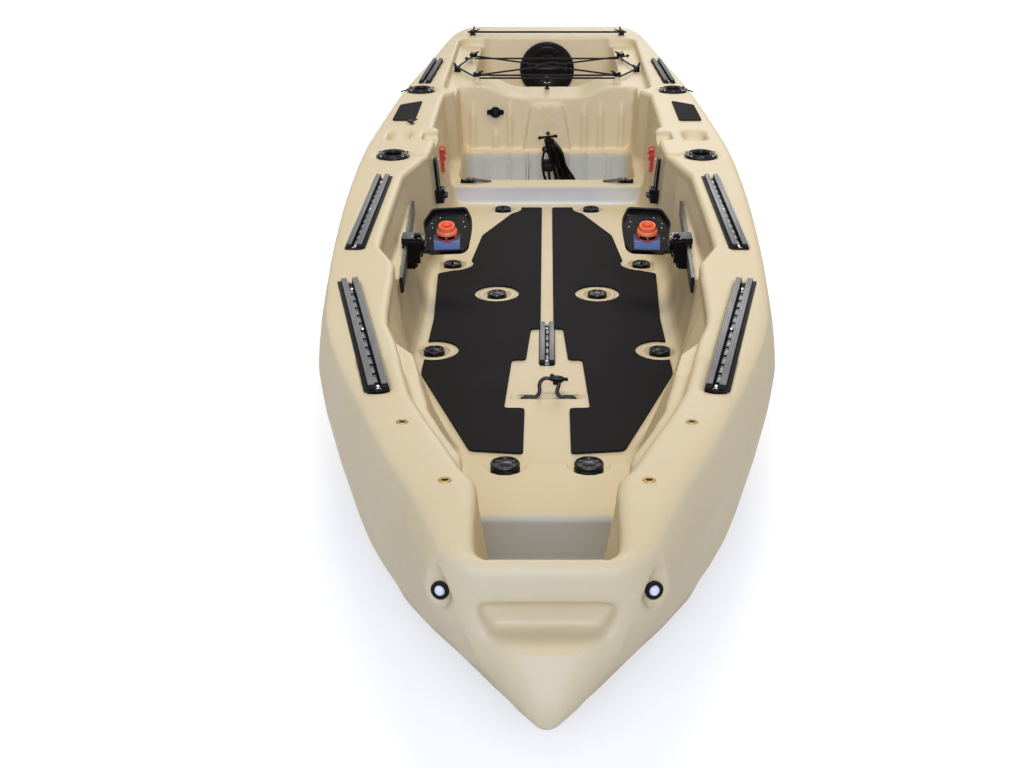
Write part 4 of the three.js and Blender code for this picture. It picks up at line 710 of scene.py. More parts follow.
def moulded_hull():
    """Makes the hull's skin and returns it as a tree, so that fittings can be set down on it."""
    bm = cad_copy("hull")
    mesh = bpy.data.meshes.new("hull_form")
    bm.to_mesh(mesh)
    bm.free()
    form = bpy.data.objects.new("hull_form", mesh)
    bpy.context.scene.collection.objects.link(form)
    skin = form.modifiers.new("skin", "REMESH")
    skin.mode = "VOXEL"
    skin.voxel_size = VOXEL
    even = finished_mesh(form)
    form.modifiers.clear()
    form.data = even
    rounded = form.vertex_groups.new(name="rounded")
    rounded.add(soft_places(even), 1.0, "REPLACE")
    for group, rounds in (("", ROUNDS_ALL_OVER), ("rounded", ROUNDS_SOFT)):
        smoother = form.modifiers.new("smoother", "SMOOTH")
        smoother.factor = SMOOTHING
        smoother.iterations = rounds
        smoother.vertex_group = group
    fewer = form.modifiers.new("fewer", "DECIMATE")
    fewer.ratio = KEPT_SHARE
    shaped = finished_mesh(form)
    bpy.data.objects.remove(form)
    bm = bmesh.new()
    bm.from_mesh(shaped)
    made = piece("hull_moulding", bm, HULL)
    made.vertex_groups.clear()
    made.data.shade_smooth()
    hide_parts("hull")
    surface = bmesh.new()
    surface.from_mesh(made.data)
    tree = BVHTree.FromBMesh(surface)
    surface.free()
    return tree


def wall_ahead(x, y, z):
    """Where a straight look astern from a place meets the hull."""
    return hull_form.ray_cast(Vector((x, y, z)), Vector((0, 1, 0)))[0]


def hull_top(x, y):
    """The height of the moulded hull's upper skin at a place."""
    return hull_form.ray_cast(Vector((x, y, DECK + 0.2)), -UPRIGHT)[0].z


def well_ribs():
    """The low ribs that are moulded into the seat well's back wall."""
    bm = bmesh.new()
    for x in WELL_RIBS:
        for edge in (-WELL_RIB_HALF, WELL_RIB_HALF):
            foot = wall_ahead(x + edge, WELL_RIB_LOOK, WELL_RIB_FOOT) + WELL_RIB_SUNK
            head = wall_ahead(x + edge, WELL_RIB_LOOK, WELL_RIB_HEAD) + WELL_RIB_SUNK
            bar(bm, foot, head, WELL_RIB_RADIUS, 10)
    piece("well_ribs", bm, HULL)


# Gear tracks: black side walls that stand proud, grey ribbed rails, a slotted strip between them, and on some
# a dark strip of painted shadow beside them

WALL_OUT, WALL_IN, WALL_TOP, WALL_DEEP = 0.016, 0.0046, 0.0052, 0.0138
RAIL_WIDE, RAIL_THICK, RAIL_SHORT = 0.0104, 0.0026, 0.014
RIB_TOP, RIB_GAP = 0.0088, 0.0036
BED_THICK, BED_HEIGHT = 0.0098, -0.0088
# Sizes of the dark strip of painted shadow beside a track
SHADOW_STRIP_WIDE, SHADOW_STRIP_END, SHADOW_STRIP_THICK, SHADOW_STRIP_HEIGHT = 0.0074, 0.0062, 0.0024, 0.0009
SLOT_PITCH = 0.036
SLOT_SHARE, PEG_SHARE = 0.58, 0.40
TRACK_SCREW = 0.0042
TRACK_SCREWS = (-0.46, 0.02, 0.42)
SHORT_TRACK_SCREWS = (-0.4, 0.4)

# Name, length, place, turn, the side of the dark strip of painted shadow, screws along the track, and metal
TRACKS = (
    ("bow", 0.492, (0.31255, -1.1026, DECK), -13.05, 1, TRACK_SCREWS, TRACK),
    ("mid", 0.518, (0.3854, -0.4221, DECK), 0.0, -1, TRACK_SCREWS, TRACK),
    ("aft", 0.36, (0.3699, 1.0493, DECK), 2.5, 0, SHORT_TRACK_SCREWS, AFT_TRACK),
)
FLOOR_TRACK = (0.228, (0, -0.5071, FLOOR), 0.0, 0, SHORT_TRACK_SCREWS, TRACK)


def gear_track(name, length, place, turn, shadow_strip_side, screws, metal, side=1, screw_finish=STEEL):
    half = length / 2
    walls = bmesh.new()
    wide = WALL_OUT - WALL_IN
    wall_size = (wide, length, WALL_TOP + WALL_DEEP)
    for x in (-1, 1):
        box(walls, wall_size, (x * (WALL_IN + wide / 2), 0, (WALL_TOP - WALL_DEEP) / 2), round_by=0.0012)
    box(walls, (2 * WALL_IN + 0.001, length - 0.002, BED_THICK), (0, 0, BED_HEIGHT))
    # Painted shadow: a dark strip on the deck along one side and across the front end, where a shadow gap
    # shows
    if shadow_strip_side:
        long_shadow_strip = (SHADOW_STRIP_WIDE, length - 0.004, SHADOW_STRIP_THICK)
        end_shadow_strip = (2 * WALL_OUT + 0.003, SHADOW_STRIP_END, SHADOW_STRIP_THICK)
        box(walls, long_shadow_strip, (shadow_strip_side * (WALL_OUT + 0.003), 0, SHADOW_STRIP_HEIGHT), round_by=0.0007)
        box(walls, end_shadow_strip, (shadow_strip_side * 0.001, -half - 0.0016, SHADOW_STRIP_HEIGHT), round_by=0.0007)
    settle(walls, place, turn, side)
    made = piece(name + "_walls", walls, SHADE)
    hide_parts(name)

    rails = bmesh.new()
    rail_long = length - RAIL_SHORT
    for x in (-1, 1):
        mid = x * (WALL_IN + WALL_OUT) / 2
        box(rails, (RAIL_WIDE, rail_long, RAIL_THICK), (mid, RAIL_SHORT / 4, WALL_TOP + RAIL_THICK / 2),
            round_by=0.0005)
        for rib in (-1, 0, 1):
            rib_place = (mid + rib * RIB_GAP, RAIL_SHORT / 4, RIB_TOP - 0.0008)
            box(rails, (0.0018, rail_long, 0.0012), rib_place, round_by=0.0003)
    settle(rails, place, turn, side)
    piece(name + "_rails", rails, metal)

    strip = bmesh.new()
    count = int((length - 0.03) / SLOT_PITCH)
    for number in range(count):
        y = (number - (count - 1) / 2) * SLOT_PITCH
        box(strip, (0.006, SLOT_PITCH * SLOT_SHARE, 0.0018), (0.0008, y, -0.0026), round_by=0.0004)
        drum(strip, 0.002, 0.0014, (0.0006, y + SLOT_PITCH * PEG_SHARE, -0.0032), sides=10)
    settle(strip, place, turn, side)
    piece(name + "_strip", strip, STRIP)

    heads = bmesh.new()
    for share in screws:
        screw(heads, TRACK_SCREW, (-0.0004, share * length, -0.002))
    ring(heads, TRACK_SCREW, 0.0008, (0, -half + 0.0075, -0.001), sides=16, around_bar=6)
    settle(heads, place, turn, side)
    piece(name + "_screws", heads, screw_finish)


def gear_tracks():
    for word, side in SIDES:
        for where, *form in TRACKS:
            gear_track("gear_track_%s_%s" % (where, word), *form, side)
    gear_track("gear_track_floor", *FLOOR_TRACK, screw_finish=MARK)


# Fittings whose CAD shape is right get a copy with rounded edges

# Start of the name, finish, slot, rounding and the body that carries it
ROUNDED = (
    ("foot_clamp", GLOSS, "fitting", 0.0012, "foot_brace"),
    ("foot_pedal", GLOSS, "fitting", 0.0014, "foot_pedal"),
    ("pedal_lock", BLUE, "lock", 0.0014, "foot_pedal"),
    ("seat_slider", BLACK, "fitting", 0.001, "seat_slider"),
    ("seat_rail", GLOSS, "rail", 0.0007, "hull"),
    ("foot_rail", RAIL, "rail", 0.0006, "hull"),
    ("rod_holder_mid", GLOSS, "fitting", 0.001, "hull"),
    ("rod_holder_aft", GLOSS, "fitting", 0.001, "hull"),
    ("light_bezel", BLACK, "fitting", 0.0012, "hull"),
    ("light_lens", LENS, "lens", 0.001, "hull"),
)


def rounded_fittings():
    for word, _ in SIDES:
        for start, finish, slot, bevel, body in ROUNDED:
            carried = body if body == "hull" else "%s_%s" % (body, word)
            rounded_copy("%s_%s" % (start, word), finish, bevel, carried)
    rounded_copy("hatch_frame", BLACK, 0.0012)
    rounded_copy("hatch_lid", GLOSS, 0.0014, "hatch_lid")
    rounded_copy("drain_plug", GLOSS, 0.0012, "drain_plug")
    rounded_copy("tankwell_latch", GLOSS, 0.0008)


# Rod holders: rolled rim, collar, lugs and screws on the flange

ROD_HOLDERS = (("mid", 0.38305, 0.0301), ("aft", 0.3779, 0.773))
RIM_RADIUS, RIM_THICK, RIM_HEIGHT = 0.0315, 0.0036, 0.0034
COLLAR_RADIUS, COLLAR_THICK = 0.0245, 0.0022
LUG_CIRCLE = 0.0375
LUGS, LUG_RADIUS, LUG_TOP, LUG_TALL = 6, 0.0052, 0.0042, 0.0022
FLANGE_SCREWS, FLANGE_SCREW = 4, 0.0029
LEASH_RADIUS = 0.0019
LEASH_START, LEASH_END = 0.409, 0.44
LEASH = ((LEASH_START, 0.776), (0.416, 0.781), (0.424, 0.777), (0.432, 0.782), (LEASH_END, 0.781))


def rod_holders():
    for word, side in SIDES:
        for where, x, y in ROD_HOLDERS:
            rim = bmesh.new()
            ring(rim, RIM_RADIUS, RIM_THICK, (0, 0, RIM_HEIGHT), sides=40)
            ring(rim, COLLAR_RADIUS, COLLAR_THICK, (0, 0, RIM_HEIGHT), sides=40)
            for place in around(LUGS, LUG_CIRCLE, 0.0026, 30):
                drum(rim, LUG_RADIUS, LUG_TALL, place, sides=12, top=LUG_TOP)
            settle(rim, (x, y, DECK), 0, side)
            piece("rod_holder_rim_%s_%s" % (where, word), rim, GLOSS)
            heads = bmesh.new()
            for place in around(FLANGE_SCREWS, LUG_CIRCLE, 0.0033, 45):
                screw(heads, FLANGE_SCREW, place)
            settle(heads, (x, y, DECK), 0, side)
            piece("rod_holder_screws_%s_%s" % (where, word), heads, STEEL)
        fall = 0.012 / (LEASH_END - LEASH_START)
        places = [(side * x, y, 0.4045 - fall * (x - LEASH_START)) for x, y in LEASH]
        cable("rod_holder_leash_" + word, [places], LEASH_RADIUS, SHADE)
        knot = bmesh.new()
        drum(knot, 0.0042, 0.008, (side * LEASH_START, 0.776, 0.4028), sides=14, top=0.0026)
        piece("rod_holder_knot_" + word, knot, GLOSS)


# Scupper plugs: rolled brim, six lobes and a boss on each cap, and the moulded lip that it sits in

# Place, height of the cap's top and size of each plug
SCUPPERS = (
    ("aft", 0.1269, 0.4709, 0.1243, 1.0), ("quarter", 0.2411, 0.0038, 0.1243, 1.0),
    ("centre", 0.1208, -0.2092, 0.1243, 1.0), ("side", 0.2449, -0.5521, 0.1243, 1.0),
    ("bow", 0.0729, -1.1506, 0.1693, 1.13),
)
BRIM, BRIM_THICK = 0.0208, 0.0026
LOBE_CIRCLE = 0.0152
LOBES, LOBE_RADIUS, LOBE_TOP, LOBE_TALL = 6, 0.0042, 0.003, 0.0022
STEM_RADIUS, STEM_TOP, STEM_TALL = 0.003, 0.0022, 0.007
BOSS = ((0.0, -0.003), (0.0108, -0.003), (0.0102, 0.0002), (0.007, 0.0014), (0.0, 0.0018))
LIP_RADIUS, LIP_THICK, LIP_FLAT = 0.0385, 0.0062, 0.55


def scupper_plugs():
    for word, side in SIDES:
        for where, x, y, top, size in SCUPPERS:
            bm = bmesh.new()
            ring(bm, BRIM * size, BRIM_THICK, (0, 0, -0.0002), sides=36)
            for place in around(LOBES, LOBE_CIRCLE * size, -0.001, 30):
                drum(bm, LOBE_RADIUS, LOBE_TALL, place, sides=12, top=LOBE_TOP)
            turned(bm, [(radius * size, height) for radius, height in BOSS], steps=28)
            if where in ("aft", "quarter"):
                drum(bm, STEM_RADIUS, STEM_TALL, (0, 0, 0.0012), sides=12, top=STEM_TOP)
            settle(bm, (x, y, top), 0, side)
            piece("scupper_plug_top_%s_%s" % (where, word), bm, GLOSS)
            if where != "bow":
                lip = bmesh.new()
                ring(lip, LIP_RADIUS, LIP_THICK, (0, 0, 0), sides=48, around_bar=10)
                bmesh.ops.scale(lip, verts=lip.verts, vec=(1, 1, LIP_FLAT))
                settle(lip, (x, y, FLOOR - 0.0004), 0, side)
                piece("scupper_lip_%s_%s" % (where, word), lip, HULL)


# Brass inserts in the bow deck, each with a dark disc of painted shade for its hole

INSERTS = (("outer", 0.211, -1.448), ("inner", 0.1365, -1.621))
INSERT_RADIUS, INSERT_THICK, INSERT_HOLE_SHADE = 0.0058, 0.0021, 0.0049
INSERT_SHAPE = (1.2, 1.0, 0.7)


def deck_inserts():
    for word, side in SIDES:
        for where, x, y in INSERTS:
            top = hull_top(side * x, y)
            bm = bmesh.new()
            ring(bm, INSERT_RADIUS, INSERT_THICK, (0, 0, 0.0002), sides=28)
            bmesh.ops.scale(bm, verts=bm.verts, vec=INSERT_SHAPE)
            settle(bm, (side * x, y, top))
            piece("deck_insert_%s_%s" % (where, word), bm, BRASS)
            # Painted shade: a dark disc stands for the hole in the insert's middle
            hole = bmesh.new()
            drum(hole, INSERT_HOLE_SHADE, 0.001, (side * x, y, top - 0.0004), sides=20)
            piece("deck_insert_hole_%s_%s" % (where, word), hole, SHADE)


# Foam pads, and the small hook and eyelet on the starboard side pad

EYELET = (-0.3655, 0.347)


def foam_pads():
    for word, _ in SIDES:
        rounded_copy("floor_pad_" + word, FOAM, 0.0016, ending="_foam")
        rounded_copy("side_pad_" + word, FOAM, 0.0012, ending="_foam")
    hook = bmesh.new()
    box(hook, (0.016, 0.01, 0.005), (-0.372, 0.3645, 0.4045), round_by=0.0015)
    bar(hook, (-0.365, 0.366, 0.405), (-0.353, 0.374, 0.4075), 0.0026, tip=0.0018)
    ring(hook, 0.0052, 0.0015, (*EYELET, 0.403), sides=20)
    piece("side_pad_hook", hook, GLOSS)
    rivet = bmesh.new()
    screw(rivet, 0.0026, (*EYELET, 0.4016))
    piece("side_pad_hook_rivet", rivet, STEEL)


# Crossbeam straps: a clip bolted at the outer end and a webbing tail that runs inboard

STRAP_Y = 0.56
BOLT_X = 0.243
TAIL_THICK = 0.0022
TAIL_SLOPE = 0.22

# Place across, width and height of the tail's sections, from the clip inboard
TAIL = ((0.21, 0.02, 0.0088), (0.196, 0.019, 0.008), (0.184, 0.017, 0.0052), (0.164, 0.014, 0.0026))


def tail_section(x, wide, height):
    y, top = STRAP_Y + (TAIL[0][0] - x) * TAIL_SLOPE, CROSSBEAM + height
    return [
        (x, y + end * wide / 2, top + layer)
        for end, layer in ((-1, -TAIL_THICK), (1, -TAIL_THICK), (1, 0.0), (-1, 0.0))
    ]


def crossbeam_straps():
    for word, side in SIDES:
        clip = bmesh.new()
        box(clip, (0.038, 0.022, 0.01), (0.2335, STRAP_Y, CROSSBEAM + 0.005), round_by=0.0025)
        box(clip, (0.014, 0.026, 0.006), (0.2135, STRAP_Y, CROSSBEAM + 0.008), round_by=0.002)
        ends = [(0.229, STRAP_Y + half, CROSSBEAM + 0.008) for half in (-0.011, 0.011)]
        bar(clip, *ends, 0.0042)
        made = of_pair("strap_clip", word, side, clip, GLOSS)
        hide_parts("strap_cleat_" + word)
        tail = bmesh.new()
        flat_band(tail, [tail_section(*form) for form in TAIL])
        of_pair("strap_tail", word, side, tail, TAPE, bevel=0.0006)
        bolt = bmesh.new()
        screw(bolt, 0.0036, (side * BOLT_X, STRAP_Y, CROSSBEAM + 0.0095))
        piece("strap_bolt_" + word, bolt, STEEL)


# Seat height rails: bright edge with flush screw heads, and the slider's knobs

SEAT_OUT = Vector((-0.99692, 0, 0.07844))
SEAT_RAIL_THICK = 0.011
EDGE_PROUD = 0.003


def seat_fittings():
    for word, side in SIDES:
        low, high = box_ends("seat_rail_" + word)
        near, far = (low.x, high.x) if side > 0 else (-high.x, -low.x)
        lean = far - near - SEAT_RAIL_THICK
        edge = bmesh.new()
        for share in (0.04, 0.96):
            x, z = near + lean * share - 0.0006, low.z + (high.z - low.z) * share
            drum(edge, 0.004, 0.0009, (x, (low.y + high.y) / 2, z), SEAT_OUT, 16)
        foot = (near + EDGE_PROUD, low.y, low.z + 0.012)
        bar(edge, foot, (near + lean + EDGE_PROUD, low.y, high.z - 0.006), 0.0006, 8)
        of_pair("seat_rail_edge", word, side, edge, STEEL)
        low, high = box_ends("seat_slider_" + word)
        x = (low.x if side > 0 else -high.x) + 0.002
        y, z = (low.y + high.y) / 2, (low.z + high.z) / 2
        knob = bmesh.new()
        for shift in (-0.009, 0.009):
            drum(knob, 0.0062, 0.01, (x, y + shift, z), SEAT_OUT, 18, 0.0052)
        box(knob, (0.006, 0.03, 0.012), (x, y, high.z - 0.006), round_by=0.002)
        of_pair("seat_slider_knobs", word, side, knob, GLOSS, "seat_slider_" + word)


# Red pull straps: loops of webbing at the top, then a frayed tail that narrows

STRAP_OFF_WALL = 0.0085

# Shift and lean of the tail's three layers, and drop, reach and lean of the three loops
LAYERS = ((-0.0035, 0.25), (0.0, -0.2), (0.0035, 0.1))
LAYER_WIDE, LAYER_THICK, LAYER_END_SHARE = 0.0115, 0.002, 0.36
LAYER_PLACES, LAYER_WAVE, LAYER_START = 10, 0.0016, 0.01
LOOPS = ((0.0, 0.0068, 0.6), (0.16, 0.0098, -0.5), (0.36, 0.0078, 0.4))
LOOP_WIDE, LOOP_THICK = 0.006, 0.0024
LOOP_PLACES, LOOP_START, LOOP_STEP, LOOP_RISE = 12, -110, 28, 0.0105
THREADS, THREAD_GAP, THREAD_SPREAD, THREAD_RADIUS = 6, 0.0016, 2.2, 0.0009


def ribbon(bm, route, wide, thick, across, narrow=1.0):
    """A flat strap along a route, with its width along one direction."""
    across = Vector(across).normalized()
    last = len(route) - 1
    sections = []
    for number, place in enumerate(route):
        ahead = Vector(route[min(number + 1, last)]) - Vector(route[max(number - 1, 0)])
        out = ahead.cross(across).normalized() * thick / 2
        half = across * wide / 2 * (1 + (narrow - 1) * number / last)
        ends = ((-1, -1), (1, -1), (1, 1), (-1, 1))
        sections.append([Vector(place) + a * half + b * out for a, b in ends])
    flat_band(bm, sections)


def pull_straps():
    for word, side in SIDES:
        low, high = box_ends("seat_strap_" + word)
        x = (high.x if side > 0 else -low.x) - STRAP_OFF_WALL
        y, top, tall = (low.y + high.y) / 2, high.z, high.z - low.z
        bm = bmesh.new()
        for layer, lean in LAYERS:
            route = []
            for number in range(LAYER_PLACES):
                share = number / (LAYER_PLACES - 1)
                wave = LAYER_WAVE * math.sin(share * 11 + layer * 900)
                height = top - LAYER_START - (tall - LAYER_START) * share
                route.append((x + wave, y + layer - 0.004 * share, height))
            ribbon(bm, route, LAYER_WIDE, LAYER_THICK, (1, lean, 0), LAYER_END_SHARE)
        for drop, reach, lean in LOOPS:
            loop = []
            for number in range(LOOP_PLACES):
                angle = math.radians(LOOP_START + number * LOOP_STEP)
                height = top - drop * tall - 0.009 + LOOP_RISE * math.cos(angle)
                loop.append((x + reach * math.sin(angle), y - 0.005 - 0.0025 * math.cos(angle * 2), height))
            ribbon(bm, loop, LOOP_WIDE, LOOP_THICK, (0, 1, lean))
        for thread in range(THREADS):
            spread = (thread - (THREADS - 1) / 2) * THREAD_GAP
            end = (x + spread * THREAD_SPREAD, y - 0.0055, low.z - 0.003 * (thread % 3))
            bar(bm, (x + spread, y - 0.004, low.z + 0.012), end, THREAD_RADIUS, 6)
        made = of_pair("pull_strap", word, side, bm, RED, bevel=0.0003)
        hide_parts("seat_strap_" + word)


# Pedals: studs, tread bars, the wedge's dark top, and the knob with its recess, slot and washer; the slot is
# a dark band of painted shade and the recess floor a darker orange of painted shade

KNOB_SEAT = Vector((0.22892, -0.29556, 0.29572))
KNOB_AXIS = Vector((0, -0.2419, 0.9703))
KNOB_FRONT = Vector((0, -0.97, -0.24))
KNOB_LEAN = 14
PEDAL = Vector((0.2289, -0.2749, 0.2993))
PEDAL_UP = Vector((0, 0.70711, 0.70711))
PEDAL_OUT = Vector((0, -0.70711, 0.70711))
STUDS = (
    (-0.036, 0.026), (-0.04, 0.013), (0.037, 0.021), (0.035, 0.01), (0.018, 0.036), (-0.041, 0.043),
    (0.0395, -0.017),
)
STUD_RADIUS, STUD_OUT = 0.0012, 0.0042
TREAD_BARS, TREAD_START, TREAD_PITCH, TREAD_OUT = 5, 0.02, 0.0065, 0.0044
TREAD_BAR = (0.05, 0.0024, 0.0012)
PEDAL_TURN = 45

# Outlines of radius and height above the knob's seat
BARREL = (
    (0.0, 0.0042), (0.0205, 0.0042), (0.0232, 0.0068), (0.024, 0.011), (0.024, 0.0165), (0.0222, 0.0205),
    (0.0196, 0.0226), (0.0192, 0.03), (0.018, 0.0325), (0.0156, 0.033), (0.0138, 0.0318), (0.0128, 0.029),
    (0.0124, 0.024), (0.0118, 0.0222), (0.0, 0.0222),
)
WASHER_DISC = ((0.0, 0.0012), (0.0222, 0.0012), (0.0232, 0.0022), (0.0228, 0.004), (0.0, 0.004))
SLOT_SHADE_BAND = ((0.0226, 0.0062), (0.0246, 0.0074), (0.0249, 0.0138), (0.0228, 0.015))
RECESS_SHADE_DISC = ((0.0, 0.0223), (0.0117, 0.0223), (0.0117, 0.0228), (0.0, 0.0228))


def on_pedal(across, up, out):
    return PEDAL + Vector((across, 0, 0)) + PEDAL_UP * up + PEDAL_OUT * out


def pedal_fittings():
    lean = about("X", KNOB_LEAN)
    for word, side in SIDES:
        pedal, wheel = "foot_pedal_" + word, "pedal_knob_" + word
        studs = bmesh.new()
        for across, up in STUDS:
            screw(studs, STUD_RADIUS, on_pedal(across, up, STUD_OUT), PEDAL_OUT)
        of_pair("pedal_studs", word, side, studs, STEEL, pedal)
        tread = bmesh.new()
        for number in range(TREAD_BARS):
            spot = on_pedal(0, TREAD_START + number * TREAD_PITCH, TREAD_OUT)
            box(tread, TREAD_BAR, spot, about("X", PEDAL_TURN), 0.0004)
        of_pair("pedal_tread", word, side, tread, BLACK, pedal)

        top = bmesh.new()
        box(top, (0.0585, 0.028, 0.0012), (KNOB_SEAT.x, -0.2968, 0.2955), lean, 0.0004)
        of_pair("pedal_lock_top", word, side, top, TOPPING, pedal)

        knob = bmesh.new()
        turned(knob, BARREL, KNOB_SEAT, KNOB_AXIS)
        block = KNOB_SEAT + KNOB_AXIS * 0.0255 + Vector((0, 0.0095, 0.002))
        box(knob, (0.012, 0.0045, 0.0085), block, lean, 0.0012)
        made = of_pair("pedal_knob_grip", word, side, knob, ORANGE, wheel)
        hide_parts(wheel)

        washer = bmesh.new()
        turned(washer, WASHER_DISC, KNOB_SEAT, KNOB_AXIS)
        of_pair("pedal_knob_washer", word, side, washer, WASHER, wheel)
        # Painted shade: a dark band part way round the knob stands for its slot
        slot = bmesh.new()
        turned(slot, SLOT_SHADE_BAND, steps=20, angle=96, start=-138)
        bmesh.ops.rotate(slot, verts=slot.verts, matrix=lean)
        bmesh.ops.translate(slot, verts=slot.verts, vec=KNOB_SEAT)
        of_pair("pedal_knob_slot_shade", word, side, slot, SHADE, wheel)
        dot = bmesh.new()
        drum(dot, 0.0017, 0.0008, KNOB_SEAT + KNOB_AXIS * 0.011 + KNOB_FRONT * 0.0242, KNOB_FRONT, 16)
        of_pair("pedal_knob_dot", word, side, dot, MARK, wheel)
        # Painted shade: a darker orange disc on the floor of the knob's recess
        recess = bmesh.new()
        turned(recess, RECESS_SHADE_DISC, KNOB_SEAT, KNOB_AXIS, 32)
        of_pair("pedal_knob_recess", word, side, recess, HOLLOW_SHADE_ORANGE, wheel)


# Foot braces: the slide's cap, its lever knob, screws, bright lines along the rail, and dark discs of painted
# shade for the rail's notches

LEVER = (0.2835, -0.4265)
LEVER_BLOCKS = (
    ((0.018, 0.03, 0.024), (0.278, -0.408, 0.318), 0.0025),
    ((0.02, 0.016, 0.018), (0.286, -0.395, 0.292), 0.0025),
    ((0.022, 0.03, 0.02), (0.3005, -0.416, 0.276), 0.003),
)
BRACE_RAIL = (0.30975, -0.3848, 0)
BRACE_TURN = -2.795
BRACE_LINE = 0.528
# Dark discs of painted shade that stand for the rail's notches
NOTCHES, NOTCH_START, NOTCH_PITCH, NOTCH_RADIUS = 20, -0.2585, 0.0265, 0.0016


def foot_brace_fittings():
    for word, side in SIDES:
        body = "foot_brace_" + word
        cap = bmesh.new()
        box(cap, (0.025, 0.045, 0.0016), (0.3045, -0.4219, 0.3414), round_by=0.0006)
        of_pair("brace_cap_plate", word, side, cap, CAP, body)

        lever = bmesh.new()
        drum(lever, 0.0086, 0.005, (*LEVER, 0.3402), sides=24, top=0.0078)
        drum(lever, 0.0058, 0.004, (*LEVER, 0.345), sides=20, top=0.0046)
        for size, place, edge in LEVER_BLOCKS:
            box(lever, size, place, round_by=edge)
        of_pair("brace_lever", word, side, lever, GLOSS, body)

        bits = bmesh.new()
        box(bits, (0.0024, 0.006, 0.007), (0.2726, -0.419, 0.335), round_by=0.0006)
        box(bits, (0.002, 0.005, 0.003), (0.2935, -0.436, 0.3425), round_by=0.0005)
        screw(bits, 0.002, (0.28, -0.44, 0.34))
        screw(bits, 0.0018, (0.269, -0.418, 0.318), (-1, -0.2, 0))
        ring(bits, 0.0044, 0.0012, (0.2835, -0.4036, 0.2935), (0, -1, 0.1), 20)
        screw(bits, 0.0022, (0.2835, -0.4032, 0.2935), (0, -1, 0.1))
        of_pair("brace_screws", word, side, bits, STEEL, body)

        lines = bmesh.new()
        box(lines, (0.0026, BRACE_LINE, 0.0004), (0.0012, 0, 0.3282))
        box(lines, (0.0004, BRACE_LINE, 0.0012), (-0.0035, 0, 0.315))
        settle(lines, BRACE_RAIL, BRACE_TURN, side)
        piece("brace_rail_lines_" + word, lines, TRACK)
        # Painted shade: dark discs along the rail stand for its notches
        notch_shades = bmesh.new()
        for number in range(NOTCHES):
            place = (-0.0034, NOTCH_START + number * NOTCH_PITCH, 0.303)
            drum(notch_shades, NOTCH_RADIUS, 0.0003, place, (-1, 0, 0), 10)
        settle(notch_shades, BRACE_RAIL, BRACE_TURN, side)
        piece("brace_rail_notch_shades_" + word, notch_shades, SHADE)


# Harness in the seat well: a T handle with a round knob, cables gathered under it, and a thin pale lead

HARNESS_TOP = Vector((0.004, 0.806, 0.248))
CABLE_GAP, CABLE_BULGE = 0.003, 0.006
CABLE_RADIUS, SECOND_RADIUS, LEAD_RADIUS = 0.0052, 0.0042, 0.002
CABLE_ENDS = (
    (0.03, 0.796), (0.04, 0.786), (0.05, 0.8), (0.06, 0.79), (0.07, 0.8), (0.078, 0.788), (0.086, 0.796),
)
HANDLE_BALL = ((0.0, -0.0065), (0.0046, -0.0048), (0.0066, 0.0), (0.0048, 0.0046), (0.0, 0.0066))
HARNESS_KNOB = ((0.0, -0.0115), (0.0082, -0.0082), (0.0115, 0.0), (0.0082, 0.0082), (0.0, 0.0115))
LEAD = (
    (-0.005, 0.794, 0.204), (-0.0075, 0.79, 0.186), (-0.004, 0.786, 0.16), (-0.006, 0.784, 0.11),
    (-0.004, 0.782, 0.066),
)
SECOND_CABLES = (
    (
        (0.0, 0.8, 0.226), (-0.012, 0.792, 0.19), (-0.012, 0.786, 0.15), (0.0, 0.78, 0.1),
        (0.004, 0.778, 0.068),
    ),
    (
        (0.006, 0.798, 0.228), (0.01, 0.79, 0.18), (0.006, 0.786, 0.15), (0.012, 0.782, 0.1),
        (0.014, 0.78, 0.068),
    ),
)


def harness():
    routes = []
    for number, (x, y) in enumerate(CABLE_ENDS):
        start = HARNESS_TOP + Vector((-0.009 + number * CABLE_GAP, 0.004 * math.cos(number * 2.1), -0.006))
        middle_x = start.x + (x - start.x) * 0.55
        bulge = CABLE_BULGE * math.sin(number * 1.7)
        routes.append([
            start, (middle_x - 0.01, 0.803 + bulge, 0.205), (middle_x + 0.004, 0.8 + bulge, 0.16),
            (x, y, 0.112), (x + 0.01, y - 0.004, 0.068),
        ])
    made = cable("harness_cables", routes, CABLE_RADIUS, GLOSS)
    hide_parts("cable_harness")
    bm = bmesh.new()
    bar(bm, (-0.02, 0.8, 0.248), (0.0255, 0.812, 0.25), 0.004, 14)
    for place in ((-0.0215, 0.7996, 0.244), (0.0265, 0.8124, 0.246)):
        drum(bm, 0.0062, 0.008, place, sides=16, top=0.005)
    turned(bm, HANDLE_BALL, (0.003, 0.806, 0.26), steps=20)
    drum(bm, 0.0105, 0.014, (0.004, 0.806, 0.234), sides=20, top=0.008)
    turned(bm, HARNESS_KNOB, (-0.005, 0.796, 0.212), steps=24)
    piece("harness_handle", bm, GLOSS)
    cable("harness_lead", [LEAD], LEAD_RADIUS, MARK)
    cable("harness_second_cables", SECOND_CABLES, SECOND_RADIUS, SHADE)
    clip = bmesh.new()
    box(clip, (0.03, 0.016, 0.024), (0.002, 0.7845, 0.158), round_by=0.004)
    box(clip, (0.022, 0.014, 0.012), (-0.004, 0.7835, 0.178), round_by=0.003)
    piece("harness_clip", clip, BLACK)


# Stern and tankwell: hooks, cord guides' sleeves, the latch's head, and a steel band on it as a painted
# highlight

